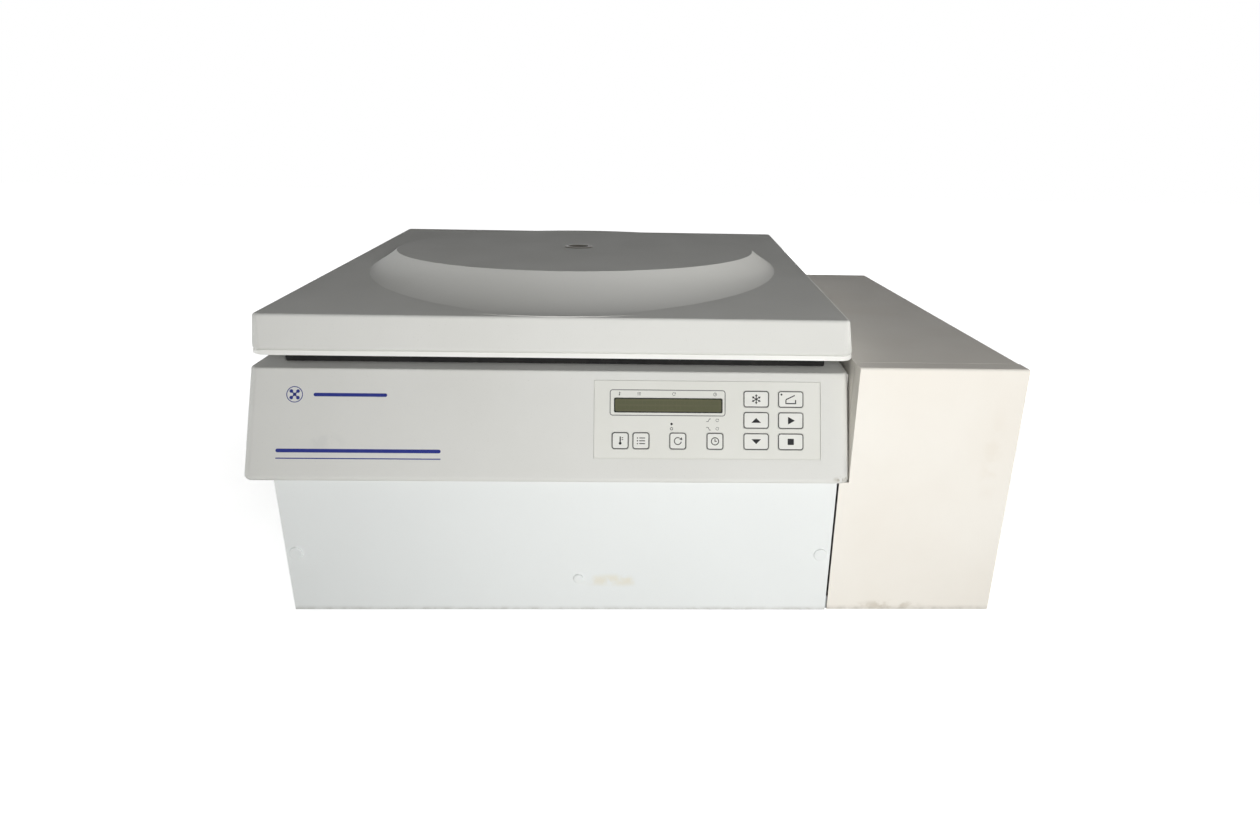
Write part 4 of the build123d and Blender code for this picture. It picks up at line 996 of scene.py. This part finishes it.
@dataclass
class ControlBand:
    """The leaning control band: fascia print, display and keys. Sizes in millimetres."""

    bottom_z: float = 163.0
    top_z: float = DECK_Z
    lean: float = 41.0
    overhang: float = 6.0
    proud: float = 0.6
    display: tuple[float, float, float, float] = (103.0, 72.9, 100.0, 13.8)
    window: tuple[float, float, float, float] = (103.0, 72.9, 97.8, 11.6)
    surround: tuple[float, float, float, float] = (102.4, 75.2, 106.5, 24.2)
    band_sign: tuple[float, float, float] = (-236.0, 80.0, 15.0)
    stripes: tuple[tuple[float, float, float, float, float], ...] = (
        (-186.0, 80.0, 66.0, 3.2, 1.5), (-178.0, 29.0, 148.0, 3.4, 1.6), (-178.0, 22.0, 148.0, 1.0, 0.45))
    labels: tuple[tuple[Mark, float, float, float], ...] = (
        (Mark.THERMOMETER, 58.0, 83.4, 3.4), (Mark.LIST, 76.0, 83.4, 3.2),
        (Mark.ROUND_ARROW, 108.0, 83.4, 3.2), (Mark.CLOCK, 146.0, 83.4, 3.2),
        (Mark.RAMP_UP, 140.0, 59.5, 4.2), (Mark.ROUND_ARROW, 148.0, 59.5, 3.0),
        (Mark.RAMP_DOWN, 140.0, 51.7, 4.2), (Mark.ROUND_ARROW, 148.0, 51.7, 3.0))
    dots: tuple[Point, Point] = ((106.0, 55.8), (106.0, 51.4))
    key_height: float = 0.95
    # Shrinks and corner radii of the black ring at each key's edge: partly a printed outline, partly painted
    # shade of the gap between key and fascia.
    key_ring_print_and_shade: tuple[float, float, float, float] = (0.3, 2.4, 1.9, 1.7)
    small_key: Point = (15.6, 15.6)
    wide_key: Point = (23.6, 15.4)
    small_key_row: float = 40.1
    small_sign: float = 7.6
    ink: float = 0.05
    sunk: float = -0.05
    cell_rows: int = 2
    cell_columns: int = 24
    cell_start: Point = (3.6, -2.5)
    cell_pitch: Point = (3.9, 5.0)
    window_thick: float = 0.12
    small_keys: tuple[tuple[str, float, Mark], ...] = (
        ("temperature", 59.0, Mark.THERMOMETER), ("program", 78.0, Mark.LIST),
        ("speed", 111.8, Mark.ROUND_ARROW), ("time", 146.0, Mark.CLOCK))
    wide_keys: tuple[tuple[str, float, float, Mark, float], ...] = (
        ("down", 184.0, 40.1, Mark.DOWN, 9.0), ("up", 184.0, 59.7, Mark.UP, 9.0),
        ("fast_cool", 184.0, 79.3, Mark.FLAKE, 9.0), ("stop", 216.0, 40.1, Mark.SQUARE, 8.0),
        ("start", 216.0, 59.7, Mark.PLAY, 8.5), ("open", 216.0, 79.3, Mark.LID, 9.0))

    def face(self) -> Face:
        """The leaning face, with its start at the band's lower edge on the chamber's middle.

        Returns:
            The face.
        """
        lean = math.atan(self.lean / (self.top_z - self.bottom_z))
        return Face((CHAMBER[0], FRONT_Y - self.overhang, self.bottom_z), Vector((1, 0, 0)),
                    Vector((0, math.sin(lean), math.cos(lean))))

    def build(self) -> None:
        """Makes the fascia print, the display and the keys' signs."""
        face = self.face()
        self.print_band(face)
        self.print_panel(face)
        self.make_display(face)
        for name, across, mark in self.small_keys:
            self.dress_key(face, name, (across, self.small_key_row), self.small_key, mark, self.small_sign)
        for name, across, up, mark, size in self.wide_keys:
            self.dress_key(face, name, (across, up), self.wide_key, mark, size)

    def print_band(self, face: Face) -> None:
        """A rotor sign and plain stripes, in navy, left of the panel.

        Args:
            face: The leaning face.
        """
        sheet = Sheet(face)
        stripes = [round_rect(*stripe) for stripe in self.stripes]
        for outline in strokes(Mark.ROTOR, *self.band_sign) + stripes:
            sheet.plate(outline, self.sunk, self.ink)
        sheet.finish("band_sign_and_stripes", NAVY_INK, "cabinet", "housing_plastic")

    def print_panel(self, face: Face) -> None:
        """Lines and small signs on the fascia film.

        Args:
            face: The leaning face.
        """
        low, high = self.proud + self.sunk, self.proud + self.ink
        x, y, w, h = self.surround
        lines = Sheet(face)
        lines.frame(round_rect(x, y, w, h, 2.8), round_rect(x, y, w - 1.6, h - 1.6, 2.0), low, high)
        lines.finish("fascia_lines", GREY_INK, "cabinet", "fascia_film")
        signs = Sheet(face)
        for label in self.labels:
            for outline in strokes(*label):
                signs.plate(outline, low, high)
        dot, ring = self.dots
        signs.plate(circle(*dot, 1.1, 20), low, high)
        signs.frame(circle(*ring, 1.4, 24), circle(*ring, 0.9, 24), low, high)
        signs.finish("fascia_signs", INK, "cabinet", "fascia_film")

    def make_display(self, face: Face) -> None:
        """The display's dark surround, its window and its cells.

        Args:
            face: The leaning face.
        """
        x, y, w, h = self.display
        wx, wy, ww, wh = self.window
        edge = Sheet(face)
        edge.frame(round_rect(x, y, w - 0.7, h - 0.7, 1.4), round_rect(wx, wy, ww, wh, 1.6), self.sunk, 0.4)
        edge.finish("display_surround", DISPLAY_EDGE, "cabinet", "display", 0.08)
        glass = Sheet(face).plate(round_rect(wx, wy, ww + 0.5, wh + 0.5, 1.8), self.sunk, self.window_thick)
        glass.finish("display_window", DISPLAY, "cabinet", "display")
        places = []
        for row in range(self.cell_rows):
            for column in range(self.cell_columns):
                across = wx - ww / 2 + self.cell_start[0] + column * self.cell_pitch[0]
                up = wy + self.cell_start[1] + row * self.cell_pitch[1]
                places.append((face.at(across, up, self.window_thick), face.out))
        cell_tree().run(spots(places), "display_cells", DISPLAY_CELL, "cabinet", "display",
                        {"Cell width": 3.5, "Cell height": 3.5})

    def dress_key(self, face: Face, name: str, centre: Point, key: Point, mark: Mark, size: float) -> None:
        """A sign on one key, and a black ring at its edge that is partly a printed outline and partly painted
        shade of the gap round the key.

        Args:
            face: The leaning face.
            name: The key's name.
            centre: The key's centre across and up.
            key: The key's width and height.
            mark: The key's sign.
            size: The sign's size.
        """
        low, high = self.key_height + self.sunk, self.key_height + self.ink
        (across, up), (width, height) = centre, key
        outer, outer_radius, inner, inner_radius = self.key_ring_print_and_shade
        ink = Sheet(face)
        # The ring: a printed outline and painted shade of the gap round the key.
        ink.frame(round_rect(across, up, width - outer, height - outer, outer_radius),
                  round_rect(across, up, width - inner, height - inner, inner_radius), low, high)
        for outline in strokes(mark, across, up, size):
            ink.plate(outline, low, high)
        if mark is Mark.LID:
            ink.plate(circle(across - width / 2 + 3.2, up + height / 2 - 3.2, 0.9, 20), low, high)
        ink.finish(f"sign_{name}", INK, f"button_{name}", "fascia_film")


@dataclass
class LidTrim:
    """The lip round the lid's lower edge, painted paler as a highlight, and a black strip behind it, painted
    shade for the gap under the lid. Sizes in millimetres.
    """

    half_width: float = 272.25
    front_y: float = FRONT_Y + 27.0
    length: float = 537.0
    gap: float = 17.5
    corner: float = 11.0
    ends_before_back: float = 42.0

    def path(self, inset: float) -> list[Point]:
        """A line along the lid's edge, from the right side's back round the front to the left side's back.

        Args:
            inset: How far inside the lid's edge it runs.

        Returns:
            Its points across and along the lid, from the middle of the lid's front edge.
        """
        half, radius = self.half_width - inset, max(self.corner - inset, 2.0)
        end = self.length - self.ends_before_back
        points = [(half, end)]
        for turn, side in ((0, 1), (1, -1)):
            x, y = side * (half - radius), inset + radius
            for step in range(7):
                angle = math.radians(-90 * turn - 90 * step / 6)
                points.append((x + radius * math.cos(angle), y + radius * math.sin(angle)))
        return points + [(-half, end)]

    def build(self) -> None:
        """Makes the lip with its painted highlight, and the black strip of painted shade."""
        tilt = math.atan(DECK_SLOPE)
        height = DECK_Z + DECK_SLOPE * (self.front_y - DECK_Y) + self.gap
        face = Face((CHAMBER[0], self.front_y, height), Vector((1, 0, 0)),
                    Vector((0, math.cos(tilt), math.sin(tilt))))
        for name, outer, inner, low, high, finish, slot, soft in (
                # The lip: the lid's moulding painted lighter, a painted highlight on its rounded lower edge.
                ("lid_lip", 0.6, 3.4, -3.4, 1.0, LIP_HIGHLIGHT, "housing_plastic", 0.7),
                # A black strip under the lid: painted shade standing in for the shade in the gap between lid
                # and deck.
                ("lid_gap_painted_shade", 22.0, 25.0, -15.0, 1.0, RUBBER, "rubber", 0.6)):
            outline = self.path(inner) + self.path(outer)[::-1]
            Sheet(face).plate(outline, low, high).finish(name, finish, "lid", slot, soft)


@dataclass
class RotorMarks:
    """Place numbers on the rotor's arms. Sizes in millimetres."""

    pivot_z: float = 196.0
    half_thick: float = 13.0
    number_radius: float = 84.0
    font_size: float = 12.6
    half_raised: float = 0.2

    def build(self) -> None:
        """Puts the numbers 1 to 4 on the arms, between the buckets."""
        for step in range(4):
            turn = math.radians(45 + 90 * step)
            spot = Vector((CHAMBER[0] + self.number_radius * math.cos(turn),
                           CHAMBER[1] + self.number_radius * math.sin(turn),
                           self.pivot_z + self.half_thick))
            self.number(str(step + 1), spot, turn)

    def number(self, text: str, spot: Vector, turn: float) -> None:
        """One raised number.

        Args:
            text: The number.
            spot: Its place, in millimetres.
            turn: The way its top points, in radians.
        """
        curve = bpy.data.curves.new("number", "FONT")
        curve.body = text
        curve.size = self.font_size * MM
        curve.extrude = self.half_raised * MM
        curve.align_x = curve.align_y = "CENTER"
        holder = bpy.data.objects.new("number_source", curve)
        bpy.context.scene.collection.objects.link(holder)
        bpy.context.view_layer.update()
        data = bpy.data.meshes.new_from_object(holder.evaluated_get(bpy.context.evaluated_depsgraph_get()))
        bpy.data.objects.remove(holder)
        data.transform(Matrix.Translation(spot * MM) @ Matrix.Rotation(turn - math.pi / 2, 4, "Z"))
        data.materials.clear()
        place(f"rotor_number_{text}", data, WHITE_INK, "rotor", "rotor_metal")


@dataclass
class Fixings:
    """Screws, vent lips and contact pins. Sizes in millimetres."""

    back_y: float = 281.0
    right_x: float = 354.0
    left_x: float = -327.0
    seam_x: float = 200.0
    sunk: float = 0.4
    low_screws_z: float = 38.0
    main_screws_z: tuple[float, ...] = (38.0, 154.0)
    cooler_screws_z: tuple[float, ...] = (56.0, 158.0, 262.0)
    middle_screw_x: float = -70.0
    main_edge: float = 12.0
    cooler_edge: float = 10.0
    side_screws_y: tuple[float, ...] = (-240.0, -80.0, 90.0, 250.0)
    bracket_off_middle: float = 168.0
    bracket_screw_off: float = 10.0
    bracket_screw_back: float = 6.0
    bracket_thick: float = 1.7
    vents: tuple[tuple[str, float, float], ...] = (("front", -182.0, 110.0), ("rear", 138.5, 165.0))
    lip_rows: int = 14
    lip_low: float = 76.4
    lip_pitch: float = 10.0
    lip_radius: float = 0.55
    pin_places: tuple[Point, ...] = ((-7.0, -3.0), (0.0, 3.0), (7.0, -3.0))
    pin_root: float = 3.0
    rocker_throw: float = 7.0
    rocker_pivot: float = 2.0
    rocker_thick: float = 4.0
    rocker_reach: float = 6.0

    def build(self) -> None:
        """Makes every fixing."""
        self.back_screws()
        self.side_screws()
        self.hinge_screws()
        self.vent_lips()
        self.inlet_pins()
        self.switch_marks()

    def back_screws(self) -> None:
        """Screws round the two back sheets."""
        main = (self.left_x + self.main_edge, self.middle_screw_x, self.seam_x - self.main_edge)
        cooler = (self.seam_x + self.cooler_edge, self.right_x - self.cooler_edge)
        places = [(Vector((x, self.back_y - self.sunk, z)) * MM, Vector((0, 1, 0)))
                  for across, heights in ((main, self.main_screws_z), (cooler, self.cooler_screws_z))
                  for x in across for z in heights]
        screw_tree().run(spots(places), "back_screws", NUT, "cabinet", "steel")

    def side_screws(self) -> None:
        """Screws along the side cover's and the left sheet's lower edges."""
        places = [(Vector((x - side * self.sunk, y, self.low_screws_z)) * MM, Vector((side, 0, 0)))
                  for side, x in ((1, self.right_x), (-1, self.left_x)) for y in self.side_screws_y]
        screw_tree().run(spots(places), "side_screws", NUT, "cabinet", "steel")

    def hinge_screws(self) -> None:
        """Screws that hold the hinge brackets to the deck."""
        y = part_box("hinge_brackets")[0].y / MM + self.bracket_screw_back
        z = DECK_Z + DECK_SLOPE * (y - DECK_Y) + self.bracket_thick
        places = [(Vector((CHAMBER[0] + side * self.bracket_off_middle + off, y, z)) * MM,
                   Vector(DECK_NORMAL))
                  for side in (-1, 1) for off in (-self.bracket_screw_off, self.bracket_screw_off)]
        screw_tree().run(spots(places), "hinge_screws", NUT, "cabinet", "steel",
                         {"Head radius": 2.6, "Head height": 1.2})

    def vent_lips(self) -> None:
        """Pressed lips over the side cover's vent slots."""
        for name, middle, length in self.vents:
            x = self.right_x - self.lip_radius
            places = [(Vector((x, middle, self.lip_low + row * self.lip_pitch)) * MM, Vector((1, 0, 0)))
                      for row in range(self.lip_rows)]
            lip_tree(Vector((0, 1, 0))).run(spots(places), f"vent_lips_{name}", CREAM, "cabinet",
                                            "cream_paint",
                                            {"Lip length": length, "Lip radius": self.lip_radius})

    def inlet_pins(self) -> None:
        """Three flat contact pins in the mains inlet."""
        low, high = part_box("mains_inlet")
        middle = (low + high) / 2 / MM
        face = Face((middle.x, self.back_y - self.pin_root, middle.z), Vector((-1, 0, 0)), Vector((0, 0, 1)))
        pins = Sheet(face)
        for across, up in self.pin_places:
            pins.plate(round_rect(across, up, 2.0, 4.0, 0.4, 3), -0.1, 2.2)
        pins.finish("inlet_pins", STEEL, "cabinet", "steel", 0.15)

    def switch_marks(self) -> None:
        """A bar and a ring on the mains rocker."""
        low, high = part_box("mains_rocker")
        middle = (low + high) / 2 / MM
        throw = math.radians(self.rocker_throw)
        spin = Matrix.Rotation(throw, 3, "X")
        pivot = Vector((0, self.back_y - self.rocker_pivot, middle.z))
        out, reach = self.rocker_thick + self.rocker_reach * math.tan(throw), self.rocker_reach
        for name, side in (("on", 1), ("off", -1)):
            lean = throw + side * throw
            spot = pivot + spin @ Vector((0, out, side * reach))
            face = Face((middle.x, spot.y, spot.z), Vector((-1, 0, 0)),
                        Vector((0, math.sin(lean), math.cos(lean))))
            sheet = Sheet(face)
            if side > 0:
                sheet.plate(round_rect(0, 0, 0.9, 4.6, 0.3, 3), -0.1, 0.08)
            else:
                sheet.frame(circle(0, 0, 2.4, 28), circle(0, 0, 1.7, 28), -0.1, 0.08)
            sheet.finish(f"rocker_sign_{name}", WHITE_INK, "power_rocker", "black_plastic")


@dataclass
class Studio:
    """The floor, the lamps and the camera at the photograph's angle."""

    focal_pixels: float = 807.7
    picture: tuple[int, int] = (1260, 840)
    principal: tuple[float, float] = (669.3, 461.6)
    pitch: float = 21.1
    yaw: float = 2.0
    roll: float = 1.1
    eye: tuple[float, float, float] = (8.5, -987.6, 449.3)
    sensor: float = 36.0
    aim: tuple[float, float, float] = (0.0, 0.0, 0.18)
    half_floor: float = 8.0
    fill: float = 0.08
    lamps: tuple[tuple[str, tuple[float, float, float], float, float, Colour], ...] = (
        ("front_lamp", (0.25, -1.4, 0.52), 0.3, 10.6, (1.0, 0.998, 0.99)),
        ("right_lamp", (3.0, 0.1, 0.2), 0.4, 40.0, (1.0, 0.99, 0.97)),
        ("left_lamp", (-3.0, 0.1, 0.2), 0.4, 40.0, (0.98, 0.99, 1.0)),
        ("back_lamp", (0.0, 3.2, 0.2), 0.4, 50.0, (1.0, 1.0, 1.0)))

    def camera(self) -> None:
        """Sets the camera where the photograph was taken from."""
        data = bpy.data.cameras.new("camera")
        width = self.picture[0]
        data.sensor_width = self.sensor
        data.lens = self.focal_pixels / width * self.sensor
        data.shift_x = (width / 2 - self.principal[0]) / width
        data.shift_y = (self.principal[1] - self.picture[1] / 2) / width
        data.clip_start = 0.01
        pitch, yaw, roll = (math.radians(value) for value in (self.pitch, self.yaw, self.roll))
        ahead = Vector((math.sin(yaw) * math.cos(pitch), math.cos(yaw) * math.cos(pitch), -math.sin(pitch)))
        side = Vector((math.cos(yaw), -math.sin(yaw), 0))
        top = side.cross(ahead)
        right = side * math.cos(roll) + top * math.sin(roll)
        up = top * math.cos(roll) - side * math.sin(roll)
        turn = Matrix((right, up, -ahead)).transposed().to_4x4()
        camera = bpy.data.objects.new("camera", data)
        camera.matrix_world = Matrix.Translation(Vector(self.eye) * MM) @ turn
        bpy.context.scene.collection.objects.link(camera)
        bpy.context.scene.camera = camera

    def lamp(self, name: str, spot: tuple[float, float, float], size: float, power: float, colour: Colour
             ) -> None:
        """Adds a soft area lamp that looks at the machine.

        Args:
            name: The lamp's name.
            spot: Its place, in metres.
            size: Its width, in metres.
            power: Its power, in watts.
            colour: Its colour.
        """
        data = bpy.data.lights.new(name, "AREA")
        data.shape, data.size, data.energy, data.color = "SQUARE", size, power, colour
        lamp = bpy.data.objects.new(name, data)
        lamp.location = spot
        lamp.rotation_euler = (Vector(self.aim) - Vector(spot)).to_track_quat("-Z", "Y").to_euler()
        lamp.visible_glossy = False
        bpy.context.scene.collection.objects.link(lamp)

    def whitened(self, graph: Graph) -> bpy.types.NodeSocket:
        """Adds white to the floor for rays that show it, less under the machine, where its shadow falls.

        Args:
            graph: The floor's nodes.

        Returns:
            The joined shader.
        """
        away = graph.node("ShaderNodeVectorMath", {0: graph.place}, operation="LENGTH").outputs["Value"]
        strength = graph.node("ShaderNodeMapRange", {"Value": away}, {"From Min": 0.5, "From Max": 1.1,
                                                                      "To Min": 0.7, "To Max": 1.0})
        scale = graph.node("ShaderNodeMath", {0: graph.seen(), 1: strength.outputs["Result"]},
                           operation="MULTIPLY")
        glow = graph.node("ShaderNodeEmission", {"Strength": scale.outputs[0]})
        return graph.node("ShaderNodeAddShader", {0: graph.shader.outputs[0], 1: glow.outputs[0]}).outputs[0]

    def floor(self) -> None:
        """Adds a plain pale floor that keeps the machine's shadow."""
        graph = Graph("pale_floor")
        graph.surface(Base_Color=(0.8, 0.8, 0.79, 1), Roughness=0.9, Specular_IOR_Level=0.0)
        graph.link(self.whitened(graph), graph.tree.nodes["Material Output"].inputs["Surface"])
        half = self.half_floor
        data = bpy.data.meshes.new("floor")
        data.from_pydata([(x * half, y * half, 0) for x, y in ((-1, -1), (1, -1), (1, 1), (-1, 1))], [],
                         [(0, 1, 2, 3)])
        data.materials.append(graph.material)
        floor = bpy.data.objects.new("floor", data)
        bpy.context.scene.collection.objects.link(floor)

    def world(self) -> None:
        """Sets a background that shows white and lights the machine only faintly."""
        world = bpy.data.worlds.new("studio")
        bpy.context.scene.world = world
        world.use_nodes = True
        nodes = Nodes(world.node_tree)
        background = nodes.tree.nodes["Background"]
        glow = nodes.node("ShaderNodeMapRange", {"Value": nodes.seen()}, {"To Min": self.fill, "To Max": 1.0})
        nodes.link(glow.outputs["Result"], background.inputs["Strength"])
        background.inputs["Color"].default_value = (1, 1, 1, 1)

    def build(self) -> None:
        """Sets up the whole studio."""
        self.camera()
        self.world()
        self.floor()
        for lamp in self.lamps:
            self.lamp(*lamp)
        bpy.context.scene.view_settings.view_transform = "Standard"


def dress_solids(nodes: dict[str, bpy.types.Object]) -> None:
    """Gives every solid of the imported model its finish.

    Args:
        nodes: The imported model's solids, by name.
    """
    for finish, names in NODE_FINISHES.items():
        material = FINISHES.get(finish)
        for name in names:
            slots = nodes[name].data.materials
            slots.clear()
            slots.append(material)
            log.info("%s: %s", name, finish.name)
    bare = set(nodes) - {name for names in NODE_FINISHES.values() for name in names}
    if bare:
        raise ValueError(f"no finish is given for {sorted(bare)}")


def main() -> None:
    """Builds the finishes, the details and the studio."""
    logging.basicConfig(level=logging.INFO, format="%(name)s %(message)s")
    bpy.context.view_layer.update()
    dress_solids(frame["nodes"])
    for assembly in (ControlBand(), LidTrim(), RotorMarks(), Fixings(), Studio()):
        assembly.build()
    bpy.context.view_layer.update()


if __name__ == "__main__":
    main()
